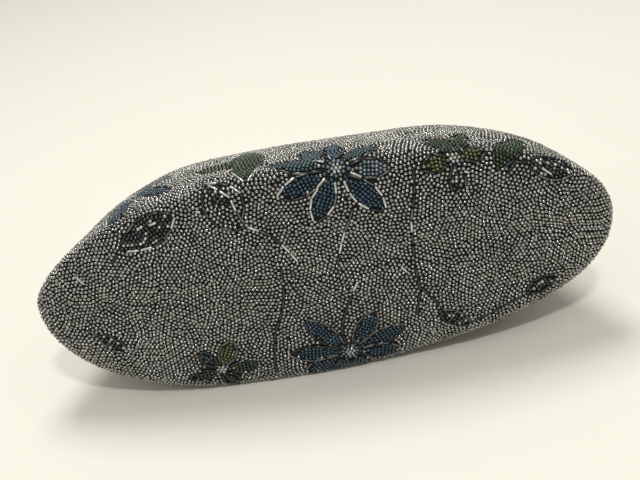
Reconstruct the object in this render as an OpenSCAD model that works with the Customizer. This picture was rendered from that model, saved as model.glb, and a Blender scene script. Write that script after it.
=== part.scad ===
// Kiss lock frame purse: a beaded evening bag with a boat-shaped base, lying on its back panel.
// X runs along the bag's width, +Y from the base towards the frame, and +Z up from the surface
// that the bag rests on. Lengths are in millimetres and angles in degrees.
// The cloth follows one surface function, cloth_point, at different depths. The metal frame is
// drawn flat, with its hinge line on the X axis, and then tilted into the bag's middle plane.

/* [Bag body] */
// Width of the bag from tip to tip, along the base
body_w = 240; // [215:5:265]
// Thickness of the bag at its base, from front to back
base_depth = 97; // [84:1:108]
// Distance from the base to the hinges
hinge_reach = 98; // [88:1:112]
// How far the base swells past its edges
base_bulge = 8; // [4:0.5:12]
// How far the keel seam lies to the front of the base's middle
seam_lift = 1; // [0:0.5:8]
// How far the two tips lie back towards the frame
tip_rise = 6; // [4:0.5:14]
// How far the soft back flattens under the bag's own weight
settle = 1.5; // [0.5:0.1:2.5]
// Sideways slip of the base's front edge against its back edge
skew = 16; // [0:1:18]
// How far the right tip droops and the left tip lifts
twist = 4.5; // [0:0.5:9]
// Distance from the end of the side seams to the hinges
seam_stop = 12; // [10:0.5:16]
// Distance from the base to the origin, on the resting side
origin_reach = 60; // [50:1:70]

/* [Bag outline] */
// Flatness of the left half along the base, higher is boxier
left_curve = 2.6; // [2.2:0.1:5]
// Bluntness of the left tip, 1 is a straight-sided point
left_bluntness = 1.55; // [1.2:0.05:2]
// Flatness of the right half along the base
right_curve = 1.8; // [1.6:0.1:4]
// Bluntness of the right tip
right_bluntness = 2.2; // [1.4:0.05:2.6]
// Flatness of the bag between the arms of the frame
frame_curve = 6; // [3:0.25:8]
// Bluntness of the bag's edges between the arms of the frame
frame_bluntness = 2; // [1.1:0.05:2.4]
// How late the sides draw in towards the frame, 1 is a straight taper
side_taper = 1; // [1:0.05:2]

/* [Cloth layers] */
// Thickness of the beaded cloth with its beads
panel_t = 2.2; // [1.6:0.1:3]
// Thickness of the interlining
interlining_t = 1; // [0.6:0.1:1.5]
// Thickness of the satin lining
lining_t = 0.8; // [0.5:0.1:1.2]
// Gap between two layers of cloth
layer_gap = 0.3; // [0.2:0.05:0.5]
// Gap between the front and the back along the seams
seam_gap = 0.3; // [0.2:0.05:0.5]
// Gap at each cut between the front's fixed, folding and opening parts
fold_gap = 0.3; // [0.2:0.05:0.6]
// Distance before the hinges where the front's fold begins
fold_before = 22; // [18:1:28]
// Width of the slip pocket
pocket_w = 90; // [60:5:110]
// Depth of the slip pocket
pocket_h = 52; // [35:1:60]
// Distance of the pocket's foot from the base
pocket_foot = 20; // [14:1:30]
// Thickness of the pocket's cloth
pocket_t = 0.8; // [0.5:0.1:1.2]

/* [Frame] */
// Outer width of the frame
frame_w = 178; // [166:1:190]
// Distance from the hinges to the outer edge of the top bar
frame_drop = 58; // [50:1:66]
// Slope of the frame down towards the top bar
frame_tilt = 15; // [12:0.5:18]
// Height of the frame's middle plane at the top bar
frame_rise = 11; // [10:0.5:14]
// Outer radius of the frame's two corners
corner_r = 25; // [18:1:32]
// Depth of each channel, in the plane of the frame
channel_depth = 8; // [7.5:0.5:10]
// Thickness of each channel, across the plane of the frame
channel_t = 6.4; // [6.2:0.1:7]
// Thickness of the frame's sheet metal
sheet_t = 0.9; // [0.7:0.05:1]
// Radius of each channel's rounded outer edge
edge_r = 2; // [1:0.1:2.4]
// Gap between the two closed halves
halves_gap = 0.3; // [0.2:0.05:0.4]
// Gap between the cloth and the mouth of the channel
mouth_gap = 0.3; // [0.2:0.05:0.5]
// Length of cloth that is held inside the channel
hem = 6; // [4:0.25:6.2]
// Thickness of the beaded cloth where the channel pinches it
panel_pinched = 1.2; // [0.9:0.05:1.3]
// Thickness of the interlining, and of the lining, where the channel pinches them
lining_pinched = 0.5; // [0.3:0.05:0.55]
// Gap around each layer inside the channel
pinch_gap = 0.15; // [0.1:0.01:0.18]

/* [Hinges] */
// Distance from the hinge line to the end of each arm
arm_start = 7; // [6.4:0.1:8]
// Outer radius of the hinge ears
ear_r = 5; // [4:0.1:5.6]
// Thickness of each hinge ear
ear_t = 1.3; // [1:0.1:1.5]
// Length of each ear's root inside its arm
ear_root = 4; // [3:0.25:5]
// Radius of the hinge rivet
rivet_r = 1.5; // [1.2:0.05:1.8]
// Running clearance between the rivet and the front ear
rivet_clear = 0.05; // [0.02:0.01:0.09]
// Radius of the rivet's heads
head_r = 2.8; // [2.4:0.1:3.4]
// Thickness of the rivet's heads
head_t = 1; // [0.7:0.1:1.2]
// Thickness of the washer between the ears
washer_t = 0.4; // [0.3:0.05:0.6]
// Side play on each side of the front ear
side_play = 0.1; // [0.06:0.01:0.2]

/* [Kiss lock] */
// Radius of the two clasp balls
ball_r = 5.5; // [4.5:0.1:6]
// Gap between the two clasp balls, side by side
ball_gap = 0.2; // [0.1:0.05:0.5]
// Radius of the clasp stems
stem_r = 1.9; // [1.5:0.1:2]
// Length of the clasp stems, from the bar to the ball
stem_l = 5; // [4:0.25:6]
// Lean of each stem towards the other half
stem_lean = 20; // [14:1:22]

/* [Hidden] */
$fn = 64;

half_w = body_w / 2;
half_depth = base_depth / 2;

// The bag's middle line falls from half the base's depth to the frame, and meets it at its tilt.
hinge_mid = frame_rise + settle + frame_drop * sin(frame_tilt);
mid_power = max(1.5, tan(frame_tilt) * hinge_reach / (half_depth - hinge_mid));
hinge_y = hinge_reach - origin_reach;
hinge_z = hinge_mid - settle;

// The mouth is the inner edge of the channel, less a gap. The hem lies beyond it, in the channel.
gather_s = hinge_reach - seam_stop;
mouth_half = frame_w / 2 - channel_depth - mouth_gap;
mouth_r = corner_r - channel_depth - mouth_gap;
bar_along = frame_drop - channel_depth - mouth_gap;
bar_s = hinge_reach + bar_along * cos(frame_tilt);
corner_half = frame_w / 2 - corner_r;
corner_along = frame_drop - corner_r;
hem_r = mouth_r + hem;
hem_corner_angle = 80;

// Where the channels begin to hold the cloth, past the roots of the ears. The hem starts as a
// narrow edge a little before that.
hem_along = arm_start + ear_root + 2;
hem_s = hinge_reach + hem_along * cos(frame_tilt);
hem_ease = 1.6;
hem_start = 0.02;
free_s = hem_s - 4;
fold_s = hinge_reach - fold_before;

// The layers lose their inset and take up their pinched heights between these two distances.
join_from = gather_s - 14;
join_run = 22;

// Heights above the frame's middle plane of the layers inside the channel
slot_floor = halves_gap / 2 + sheet_t;
slot_roof = halves_gap / 2 + channel_t - sheet_t;
lining_lo = slot_floor + pinch_gap;
lining_hi = lining_lo + lining_pinched;
inter_lo = lining_hi + pinch_gap;
inter_hi = inter_lo + lining_pinched;
panel_lo = inter_hi + pinch_gap;
panel_hi = panel_lo + panel_pinched;
cord_r = (slot_roof - panel_hi) / 2 - pinch_gap;
cord_h = slot_roof - pinch_gap - cord_r;
cord_inset = sheet_t + pinch_gap + cord_r;

// Each layer: depth of its outer and inner face in the bag, then their heights in the channel
inter_depth = panel_t + layer_gap;
lining_depth = inter_depth + interlining_t + layer_gap;
pocket_depth = lining_depth + lining_t + 2 * layer_gap;
PANEL = [0, panel_t, panel_hi, panel_lo];
INTERLINING = [inter_depth, inter_depth + interlining_t, inter_hi, inter_lo];
LINING = [lining_depth, lining_depth + lining_t, lining_hi, lining_lo];
POCKET = [pocket_depth, pocket_depth + pocket_t, lining_lo, slot_floor];

// Columns of cloth on each side of the middle, and rows over the base's edge
columns = 10;
base_rows = 6;
FRONT = 1;
BACK = -1;

// Hinge parts along X, from the outer wall of the frame inwards
front_ear_x = frame_w / 2 - sheet_t / 2 - ear_t;
ear_space = washer_t + side_play;
back_ear_x = front_ear_x - ear_space - ear_t;
head_x = front_ear_x + ear_t + side_play;

// Height on the bar's outer edge where a stem stands, and the ball's distance past the stem
stem_h = halves_gap / 2 + (channel_t - edge_r) / 2 + 0.15;
ball_seat = sqrt(ball_r * ball_r - stem_r * stem_r);
clasp_x = ball_r + ball_gap / 2;

bead_grey = [0.37, 0.37, 0.35];
padding_white = [0.82, 0.80, 0.74];
satin_grey = [0.60, 0.58, 0.52];
gilt = [0.80, 0.64, 0.32];
worn_gilt = [0.70, 0.55, 0.27];
cord_tan = [0.72, 0.60, 0.42];

function mix(a, b, f) = a + (b - a) * f;
function clamp(v, lo, hi) = min(hi, max(lo, v));
function cube_of(v) = v * v * v;

// Height of the bag's middle line at a distance s from the base, before the back settles
function mid_height(s) = s < hinge_reach
    ? half_depth - (half_depth - hinge_mid) * pow(max(s, 0) / hinge_reach, mid_power)
    : hinge_mid - tan(frame_tilt) * (s - hinge_reach);

// Slope of the middle line: level at the base, the frame's tilt from the hinges on
function mid_slope(s) = atan(tan(frame_tilt) * pow(clamp(s / hinge_reach, 0, 1), mid_power - 1));

// Share of the full thickness at q, which runs from -1 at the left edge to 1 at the right.
// It is a superellipse, (1 - |q|^curve)^(1 / bluntness), that never quite closes at the tips.
function fullness(q, s) =
    let (f = clamp(s / hinge_reach, 0, 1))
    let (curve = mix(q < 0 ? left_curve : right_curve, frame_curve, f))
    let (bluntness = mix(q < 0 ? left_bluntness : right_bluntness, frame_bluntness, f))
    max(0.01, pow(max(0, 1 - pow(abs(q), curve)), 1 / bluntness));

// Half of the bag's width: drawn in to the frame's mouth, then round the mouth's corners
function half_width(s) =
    let (past = (s - hinge_reach) / cos(frame_tilt) - corner_along)
    let (drawn = max(0, s - tip_rise) / (gather_s - tip_rise))
    s < gather_s ? half_w - (half_w - mouth_half) * pow(drawn, side_taper)
    : past < 0 ? mouth_half
    : corner_half + sqrt(max(0, mouth_r * mouth_r - pow(min(past, mouth_r), 2)));

// How much of the thickness is left between the hinges and the top bar
function swell(s) = pow(1 - pow(clamp((s - hinge_reach) / (bar_s - hinge_reach), 0, 1), 2), 0.75);

// A row of cloth is [share, far, w, held]. It lies that share of the way from the base's edge to
// the distance far. On the base, w falls from 1 at the edge to 0 at the keel seam. Held is 0 below
// the frame, up to 1 between its arms, for how far the hem reaches in, and 2 in the top bar.
function base_rows_list() = [for (i = [0 : base_rows - 1]) [0, 0, sin(90 * i / base_rows), 0]];
function free_rows(to, n) = [for (i = [0 : n]) [i / n, to, 1, 0]];
function plain_rows(from, to, n) = [for (i = [0 : n]) [1, mix(from, to, i / n), 1, 0]];
function frame_rows(from, n) = concat(
    [for (i = [0 : n]) [1, mix(from, bar_s, sin(90 * i / n)), 1, 1]],
    [[1, bar_s, 1, 2]]);

// A point in the frame's own plane: across, along it from the hinge line, and up from it
function frame_point(x, along, up) = [
    x,
    hinge_y + along * cos(frame_tilt) + up * sin(frame_tilt),
    hinge_z - along * sin(frame_tilt) + up * cos(frame_tilt)];

// A point of a cloth face at the given depth, with its height in the channel as its pinch
function cloth_point(q, row, side, depth, pinch) =
    let (s = mix(tip_rise * q * q + depth, row[1], row[0]))
    let (w = row[2])
    let (slope = mid_slope(s))
    let (joined = clamp((s - join_from) / join_run, 0, 1))
    let (rim = mix(seam_gap / 2, pinch, joined))
    let (reach = mid_height(s) / cos(slope) - depth)
    let (full_up = rim + (reach - rim) * swell(s) * fullness(q, s))
    let (keel_up = seam_lift * fullness(q, 0) + side * seam_gap / 2)
    let (up = mix(keel_up, side * full_up, w))
    let (out = w < 1 ? base_bulge * sqrt(fullness(q, 0)) * pow(1 - cube_of(w), 1 / 3) : 0)
    let (loose = max(0, 1 - s / gather_s))
    let (z = mid_height(s) - settle + up * cos(slope))
    let (slip = skew * loose * (z - half_depth + settle) / half_depth)
    let (x = q * (half_width(s) - depth * (1 - joined)) + slip)
    [x, s - out + up * sin(slope) - origin_reach,
        max(depth, z - twist * loose * cube_of(x / half_w))];

// A point of the hem, which lies flat in the channel. side_sign is -1 or 1 at the arms, else 0.
function hem_point(q, side_sign, row, side, pinch) =
    let (along = (row[1] - hinge_reach) / cos(frame_tilt))
    let (past = clamp(along - corner_along, 0, mouth_r))
    let (r = mouth_r + hem * row[3])
    row[3] <= 1
    ? frame_point(side_sign * (corner_half + (along < corner_along
        ? r + mouth_half - mouth_r - corner_half
        : sqrt(r * r - past * past))), along, side * pinch)
    : side_sign != 0
    ? frame_point(side_sign * (corner_half + hem_r * cos(hem_corner_angle)),
        corner_along + hem_r * sin(hem_corner_angle), side * pinch)
    : frame_point(q * corner_half, bar_along + hem, side * pinch);

// Column i of a row, counted from the middle. The outermost column is the hem between the arms.
function row_point(i, row, side, depth, pinch) =
    let (edge = abs(i) == columns + 1)
    let (q = sin(90 * i / (row[3] == 0 ? columns + 1 : columns)))
    row[3] == 2 ? hem_point(q, edge ? sign(i) : 0, row, side, pinch)
    : row[3] > 0 && edge ? hem_point(q, sign(i), row, side, pinch)
    : cloth_point(q, row, side, depth, pinch);

// A solid between two grids of points, nx by ny, the outer one first. Its faces are triangles,
// turned outwards for the front, and the other way round for the back.
module grid_solid(outer, inner, nx, ny, side) {
    n = nx * ny;
    quads = [for (j = [0 : ny - 2]) for (i = [0 : nx - 2])
        [j * nx + i, (j + 1) * nx + i, (j + 1) * nx + i + 1, j * nx + i + 1]];
    rim = concat(
        [for (i = [0 : nx - 2]) i],
        [for (j = [0 : ny - 2]) j * nx + nx - 1],
        [for (i = [nx - 1 : -1 : 1]) (ny - 1) * nx + i],
        [for (j = [ny - 1 : -1 : 1]) j * nx]);
    m = len(rim);
    faces = concat(
        [for (f = quads) [f[0], f[1], f[2]]],
        [for (f = quads) [f[0], f[2], f[3]]],
        [for (f = quads) [f[2] + n, f[1] + n, f[0] + n]],
        [for (f = quads) [f[3] + n, f[2] + n, f[0] + n]],
        [for (k = [0 : m - 1]) [rim[k], rim[(k + 1) % m], rim[(k + 1) % m] + n]],
        [for (k = [0 : m - 1]) [rim[k], rim[(k + 1) % m] + n, rim[k] + n]]);
    polyhedron(
        points = concat(outer, inner),
        faces = side > 0 ? faces : [for (f = faces) [f[2], f[1], f[0]]]);
}

// One layer of cloth over the given rows, on the front or the back
module cloth(rows, layer, side) {
    span = columns + 1;
    outer = [for (row = rows) for (i = [-span : span])
        row_point(i, row, side, layer[0], layer[2])];
    inner = [for (row = rows) for (i = [-span : span])
        row_point(i, row, side, layer[1], layer[3])];
    grid_solid(outer, inner, 2 * span + 1, len(rows), side);
}

// The whole back, from the keel seam to the hem in the top bar
module back_cloth(layer) {
    cloth(concat(
        base_rows_list(), free_rows(join_from, 6), plain_rows(join_from + join_run / 2, free_s, 3),
        [[1, hem_s - hem_ease, 1, hem_start]], frame_rows(hem_s, 5)), layer, BACK);
}

// The front in three lengths: fixed to the back, folding past the hinges, and opening
module front_cloth_lower(layer) {
    cloth(concat(base_rows_list(), free_rows(fold_s, 6)), layer, FRONT);
}

module front_cloth_fold(layer) {
    cloth(plain_rows(fold_s + fold_gap, hem_s - fold_gap, 5), layer, FRONT);
}

module front_cloth_upper(layer) {
    cloth(frame_rows(hem_s, 5), layer, FRONT);
}

// Moves what is drawn in the frame's plane, with its hinge line on the X axis, into place
module in_frame() {
    translate([0, hinge_y, hinge_z])
        rotate([-frame_tilt, 0, 0])
            children();
}

// Section of one half's channel: x is the distance in from its outer edge, y the height above
// the middle plane
module channel_section() {
    low = halves_gap / 2;
    difference() {
        union() {
            translate([0, low])
                square([channel_depth, channel_t - edge_r]);
            translate([edge_r, low])
                square([channel_depth - edge_r, channel_t]);
            translate([edge_r, low + channel_t - edge_r])
                circle(edge_r);
        }
        translate([sheet_t, low + sheet_t])
            square([channel_depth, channel_t - 2 * sheet_t]);
    }
}

// Carries a section, drawn with x inwards from the frame's outer edge, up one arm, round the
// corners and along the top bar, from the given distance past the hinge line
module round_frame(from) {
    for (turn = [0, 1])
        mirror([turn, 0, 0]) {
            translate([frame_w / 2, corner_along, 0])
                rotate([90, 0, 0])
                    linear_extrude(corner_along - from)
                        mirror([1, 0]) children();
            translate([corner_half, corner_along, 0])
                rotate_extrude(angle = 90)
                    translate([corner_r, 0])
                        mirror([1, 0]) children();
        }
    translate([-corner_half, frame_drop, 0])
        rotate([90, 0, 90])
            linear_extrude(2 * corner_half)
                mirror([1, 0]) children();
}

// A hinge ear at x: a round plate about the hinge line, with a web that runs into its arm
module ear(x, hole_r) {
    low = halves_gap / 2;
    difference() {
        union() {
            translate([x, 0, 0])
                rotate([0, 90, 0])
                    cylinder(h = ear_t, r = ear_r);
            translate([x, 0, low])
                cube([ear_t, arm_start + ear_root, channel_t - sheet_t / 2]);
        }
        translate([x - 1, 0, 0])
            rotate([0, 90, 0])
                cylinder(h = ear_t + 2, r = hole_r);
    }
}

// One half of the frame, above the middle plane
module frame_half(ear_x, hole_r) {
    round_frame(arm_start) channel_section();
    for (turn = [0, 1])
        mirror([turn, 0, 0])
            ear(ear_x, hole_r);
}

module front_frame() {
    color(gilt) in_frame() frame_half(front_ear_x, rivet_r + rivet_clear);
}

module back_frame() {
    color(gilt) in_frame() mirror([0, 0, 1]) frame_half(back_ear_x, rivet_r);
}

// A paper cord that fills the channel above the hem and holds the cloth in it
module packing_cord() {
    in_plane = hem_along;
    round_frame(in_plane)
        translate([cord_inset, cord_h])
            circle(cord_r);
}

module front_packing_cord() {
    color(cord_tan) in_frame() packing_cord();
}

module back_packing_cord() {
    color(cord_tan) in_frame() mirror([0, 0, 1]) packing_cord();
}

// A rivet: its inner head lies on the back ear, its outer head beside the front ear
module hinge_rivet() {
    inner = back_ear_x - head_t;
    rotate([0, 90, 0]) {
        translate([0, 0, inner])
            cylinder(h = head_t, r = head_r);
        translate([0, 0, inner])
            cylinder(h = head_x - inner + head_t / 2, r = rivet_r);
        translate([0, 0, head_x])
            cylinder(h = head_t, r1 = head_r, r2 = head_r - head_t / 2);
    }
}

module hinge_rivet_right() {
    color(worn_gilt) in_frame() hinge_rivet();
}

module hinge_rivet_left() {
    color(worn_gilt) in_frame() mirror([1, 0, 0]) hinge_rivet();
}

// A thin washer on the rivet, between the two ears
module hinge_washer() {
    translate([back_ear_x + ear_t, 0, 0])
        rotate([0, 90, 0])
            difference() {
                cylinder(h = washer_t, r = head_r);
                translate([0, 0, -1])
                    cylinder(h = washer_t + 2, r = rivet_r + rivet_clear);
            }
}

module hinge_washer_right() {
    color(worn_gilt) in_frame() hinge_washer();
}

module hinge_washer_left() {
    color(worn_gilt) in_frame() mirror([1, 0, 0]) hinge_washer();
}

// Draws a clasp piece along +Z from the foot of its stem, and turns it on to the top bar
module on_bar(x) {
    translate([x, frame_drop, stem_h])
        rotate([-90 - stem_lean, 0, 0])
            children();
}

module clasp_stem(x) {
    below = 2 * stem_r;
    difference() {
        on_bar(x)
            translate([0, 0, -below])
                cylinder(h = stem_l + below, r = stem_r);
        translate([x - 2 * below, frame_drop - 4 * below, -2 * below])
            cube([4 * below, 4 * below, 4 * below]);
    }
}

module clasp_ball(x) {
    on_bar(x)
        difference() {
            translate([0, 0, stem_l + ball_seat])
                sphere(ball_r);
            translate([-ball_r, -ball_r, stem_l - 2 * ball_r])
                cube(2 * ball_r);
        }
}

module front_clasp_stem() {
    color(gilt) in_frame() clasp_stem(-clasp_x);
}

module front_clasp_ball() {
    color(gilt) in_frame() clasp_ball(-clasp_x);
}

module back_clasp_stem() {
    color(gilt) in_frame() mirror([0, 0, 1]) clasp_stem(clasp_x);
}

module back_clasp_ball() {
    color(gilt) in_frame() mirror([0, 0, 1]) clasp_ball(clasp_x);
}

module back_panel() {
    color(bead_grey) back_cloth(PANEL);
}

module back_interlining() {
    color(padding_white) back_cloth(INTERLINING);
}

module back_lining() {
    color(satin_grey) back_cloth(LINING);
}

// A slip pocket on the back lining, over the middle of the bag
module lining_pocket() {
    across = 8;
    up_rows = 4;
    side_q = pocket_w / body_w;
    rows = [for (i = [0 : up_rows]) [1, pocket_foot + pocket_h * i / up_rows, 1, 0]];
    outer = [for (row = rows) for (i = [0 : across])
        cloth_point(mix(-side_q, side_q, i / across), row, BACK, POCKET[0], POCKET[2])];
    inner = [for (row = rows) for (i = [0 : across])
        cloth_point(mix(-side_q, side_q, i / across), row, BACK, POCKET[1], POCKET[3])];
    color(satin_grey) grid_solid(outer, inner, across + 1, up_rows + 1, BACK);
}

module front_panel_lower() {
    color(bead_grey) front_cloth_lower(PANEL);
}

module front_interlining_lower() {
    color(padding_white) front_cloth_lower(INTERLINING);
}

module front_lining_lower() {
    color(satin_grey) front_cloth_lower(LINING);
}

module front_panel_fold() {
    color(bead_grey) front_cloth_fold(PANEL);
}

module front_interlining_fold() {
    color(padding_white) front_cloth_fold(INTERLINING);
}

module front_lining_fold() {
    color(satin_grey) front_cloth_fold(LINING);
}

module front_panel_upper() {
    color(bead_grey) front_cloth_upper(PANEL);
}

module front_interlining_upper() {
    color(padding_white) front_cloth_upper(INTERLINING);
}

module front_lining_upper() {
    color(satin_grey) front_cloth_upper(LINING);
}

back_frame();
back_clasp_stem();
back_clasp_ball();
back_packing_cord();
hinge_rivet_left();
hinge_rivet_right();
hinge_washer_left();
hinge_washer_right();
back_panel();
back_interlining();
back_lining();
lining_pocket();
front_panel_lower();
front_interlining_lower();
front_lining_lower();
front_panel_fold();
front_interlining_fold();
front_lining_fold();
front_frame();
front_clasp_stem();
front_clasp_ball();
front_packing_cord();
front_panel_upper();
front_interlining_upper();
front_lining_upper();
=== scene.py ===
"""Kiss lock frame purse: dresses the packed model in beaded cloth, satin and gilt metal.

Everything is in the model's own frame: X along the bag's width, +Y from the base to the frame, +Z up.
The sizes below are in millimetres and are turned into metres when a mesh is made.
"""
import functools
import math

import bmesh
import bpy
import numpy as np
from bpy.props import FloatProperty, FloatVectorProperty, PointerProperty
from mathutils import Matrix


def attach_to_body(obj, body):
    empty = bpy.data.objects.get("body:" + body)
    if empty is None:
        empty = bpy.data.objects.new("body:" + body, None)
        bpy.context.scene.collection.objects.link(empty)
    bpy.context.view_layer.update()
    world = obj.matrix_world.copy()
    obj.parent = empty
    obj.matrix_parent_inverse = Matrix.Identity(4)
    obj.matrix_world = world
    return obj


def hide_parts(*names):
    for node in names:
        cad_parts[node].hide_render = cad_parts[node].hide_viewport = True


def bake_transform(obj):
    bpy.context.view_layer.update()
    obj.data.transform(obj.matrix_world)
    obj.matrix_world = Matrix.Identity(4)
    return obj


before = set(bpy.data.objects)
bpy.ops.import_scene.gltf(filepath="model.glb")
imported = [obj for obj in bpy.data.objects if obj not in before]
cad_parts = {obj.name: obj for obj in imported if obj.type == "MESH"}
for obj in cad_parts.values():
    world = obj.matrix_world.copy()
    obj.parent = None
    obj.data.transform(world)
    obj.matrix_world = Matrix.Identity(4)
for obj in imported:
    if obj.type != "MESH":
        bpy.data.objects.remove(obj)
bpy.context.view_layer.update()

bl_info = {
    "name": "Kiss lock frame purse",
    "version": (1, 0, 0),
    "blender": (4, 5, 0),
    "location": "3D View > Sidebar > Purse",
    "description": "Builds the beaded cloth, lining, fittings and stage of a kiss lock frame purse",
    "category": "Object",
}

MM = 0.001
FRONT = 1
BACK = -1
SIDES = ((FRONT, "front"), (BACK, "back"))

# The bag's own sizes, as in its solids
HALF_W = 120.0
HALF_DEPTH = 48.5
HINGE_REACH = 98.0
BASE_BULGE = 8.0
SEAM_LIFT = 1.0
TIP_RISE = 6.0
SETTLE = 1.5
SKEW = 16.0
TWIST = 4.5
GATHER = 86.0
ORIGIN_REACH = 60.0
LEFT_END = (2.6, 1.55)
RIGHT_END = (1.8, 2.2)
FRAME_END = (6.0, 2.0)
SIDE_TAPER = 1.0
SEAM_GAP = 0.3
FRAME_W = 178.0
FRAME_DROP = 58.0
FRAME_TILT = math.radians(15)
FRAME_RISE = 11.0
CORNER_R = 25.0
CHANNEL_DEPTH = 8.0
MOUTH_GAP = 0.3
HEM = 6.0

HINGE_MID = FRAME_RISE + SETTLE + FRAME_DROP * math.sin(FRAME_TILT)
MID_POWER = max(1.5, math.tan(FRAME_TILT) * HINGE_REACH / (HALF_DEPTH - HINGE_MID))
HINGE_Y = HINGE_REACH - ORIGIN_REACH
HINGE_Z = HINGE_MID - SETTLE
MOUTH_HALF = FRAME_W / 2 - CHANNEL_DEPTH - MOUTH_GAP
MOUTH_R = CORNER_R - CHANNEL_DEPTH - MOUTH_GAP
BAR_ALONG = FRAME_DROP - CHANNEL_DEPTH - MOUTH_GAP
BAR_S = HINGE_REACH + BAR_ALONG * math.cos(FRAME_TILT)
CORNER_HALF = FRAME_W / 2 - CORNER_R
CORNER_ALONG = FRAME_DROP - CORNER_R
HEM_S = HINGE_REACH + 13.0 * math.cos(FRAME_TILT)
JOIN_FROM = GATHER - 14.0
JOIN_RUN = 22.0

# height of the beads' outer face in the channel
RIM = 3.7
# depth of each layer's outer and inner face in the bag, and their heights in the channel
BACKING = ((1.25, 3.40), (2.2, 2.50))
INTERLINING = ((2.5, 2.35), (3.5, 1.85))
LINING = ((3.8, 1.70), (4.6, 1.20))
POCKET = ((5.2, 1.20), (6.0, 1.05))


def mid_height(s):
    """Height of the bag's middle line at s from the base: a power curve, then the frame's slope."""
    curve = HALF_DEPTH - (HALF_DEPTH - HINGE_MID) * (np.maximum(s, 0) / HINGE_REACH) ** MID_POWER
    return np.where(s < HINGE_REACH, curve, HINGE_MID - math.tan(FRAME_TILT) * (s - HINGE_REACH))


def mid_slope(s):
    """Slope of the middle line: level at the base, the frame's tilt from the hinges on."""
    return np.arctan(math.tan(FRAME_TILT) * np.clip(s / HINGE_REACH, 0, 1) ** (MID_POWER - 1))


def fullness(q, s):
    """Share of the full thickness across the bag: a superellipse, (1 - |q|^curve)^(1 / bluntness)."""
    share = np.clip(s / HINGE_REACH, 0, 1)
    curve = np.where(q < 0, LEFT_END[0], RIGHT_END[0])
    blunt = np.where(q < 0, LEFT_END[1], RIGHT_END[1])
    curve = curve + (FRAME_END[0] - curve) * share
    blunt = blunt + (FRAME_END[1] - blunt) * share
    return np.maximum(0.01, np.maximum(0, 1 - np.abs(q) ** curve) ** (1 / blunt))


def half_width(s):
    """Half of the bag's width: drawn in towards the frame's mouth, then round the mouth's corners."""
    past = (s - HINGE_REACH) / math.cos(FRAME_TILT) - CORNER_ALONG
    drawn = np.maximum(0, s - TIP_RISE) / (GATHER - TIP_RISE)
    corner = CORNER_HALF + np.sqrt(np.maximum(0, MOUTH_R**2 - np.minimum(past, MOUTH_R) ** 2))
    free = HALF_W - (HALF_W - MOUTH_HALF) * drawn**SIDE_TAPER
    return np.where(s < GATHER, free, np.where(past < 0, MOUTH_HALF, corner))


def swell(s):
    """How much of the thickness is left between the hinges and the top bar."""
    return (1 - np.clip((s - HINGE_REACH) / (BAR_S - HINGE_REACH), 0, 1) ** 2) ** 0.75


def cloth_points(q, s, w, side, depth, pinch):
    """Points of a cloth face, in millimetres: across at q, s from the base and w up the base's edge.

    The height above the middle line is the full thickness times fullness and swell, less the depth,
    and it eases to the pinch height inside the channel. The ends slip, twist and settle.
    """
    slope = mid_slope(s)
    joined = np.clip((s - JOIN_FROM) / JOIN_RUN, 0, 1)
    rim = SEAM_GAP / 2 + (pinch - SEAM_GAP / 2) * joined
    reach = mid_height(s) / np.cos(slope) - depth
    full = rim + (reach - rim) * swell(s) * fullness(q, s)
    keel = SEAM_LIFT * fullness(q, 0 * s) + side * SEAM_GAP / 2
    up = keel + (side * full - keel) * w
    out = np.where(w < 1, BASE_BULGE * np.sqrt(fullness(q, 0 * s)) * np.maximum(0, 1 - w**3) ** (1 / 3), 0)
    loose = np.maximum(0, 1 - s / GATHER)
    z = mid_height(s) - SETTLE + up * np.cos(slope)
    x = q * (half_width(s) - depth * (1 - joined)) + SKEW * loose * (z - HALF_DEPTH + SETTLE) / HALF_DEPTH
    y = s - out + up * np.sin(slope) - ORIGIN_REACH
    return np.stack([x, y, np.maximum(depth, z - TWIST * loose * (x / HALF_W) ** 3)], -1)


def frame_points(x, along, up):
    """Points in the frame's own plane: across, along it from the hinge line, and up from it."""
    x, along, up = np.broadcast_arrays(x, along, up)
    y = HINGE_Y + along * math.cos(FRAME_TILT) + up * math.sin(FRAME_TILT)
    z = HINGE_Z - along * math.sin(FRAME_TILT) + up * math.cos(FRAME_TILT)
    return np.stack([x, y, z], -1)


# creases of the soft bag as polylines over (x, v), where v is the distance along the cloth from the
# keel seam, positive on the front: each is (points, depth, half width)
CREASES = (
    (
        ((-110, -15), (-98, -8), (-90, -0.5), (-45, -1.5), (-16, 0), (23, 3), (48, 5), (99, 5.5), (114, 1.5)),
        0.9, 2.4,
    ),
    (((-51, 44), (-49, 25), (-56, -2.5), (-57, -22), (-52, -40)), 0.9, 4.5),
    (((60, 34), (66, 23), (73, 10), (76, -7), (83, -18)), 0.9, 4.5),
    (((-103, 18), (-96, 9), (-88, -3), (-78, -10)), 0.8, 2.5),
    (((20, 7), (45, 9), (60, 8)), 0.5, 2.5),
    (((34, 74), (56, 66), (80, 52)), 0.5, 5.0),
)


def distance_to(points, x, v):
    """Distance of each (x, v) from a polyline: the least distance to its straight parts."""
    least = np.full(np.shape(x), 1e9)
    for (x0, v0), (x1, v1) in zip(points[:-1], points[1:]):
        run, rise = x1 - x0, v1 - v0
        share = np.clip(((x - x0) * run + (v - v0) * rise) / (run * run + rise * rise), 0, 1)
        least = np.minimum(least, np.hypot(x - x0 - share * run, v - v0 - share * rise))
    return least


def relief(x, v):
    """How far the cloth lies inwards of its full form: a bell-shaped valley along each crease, and a
    slow waviness from a few crossed sine waves."""
    sink = 0.35 + 0.18 * np.sin(x / 9.5 + 1.3 * np.sin(v / 23)) + 0.17 * np.sin(v / 8 + x / 31)
    for points, deep, half in CREASES:
        sink = sink + deep * np.exp(-((distance_to(points, x, v) / half) ** 2))
    return sink


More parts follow.
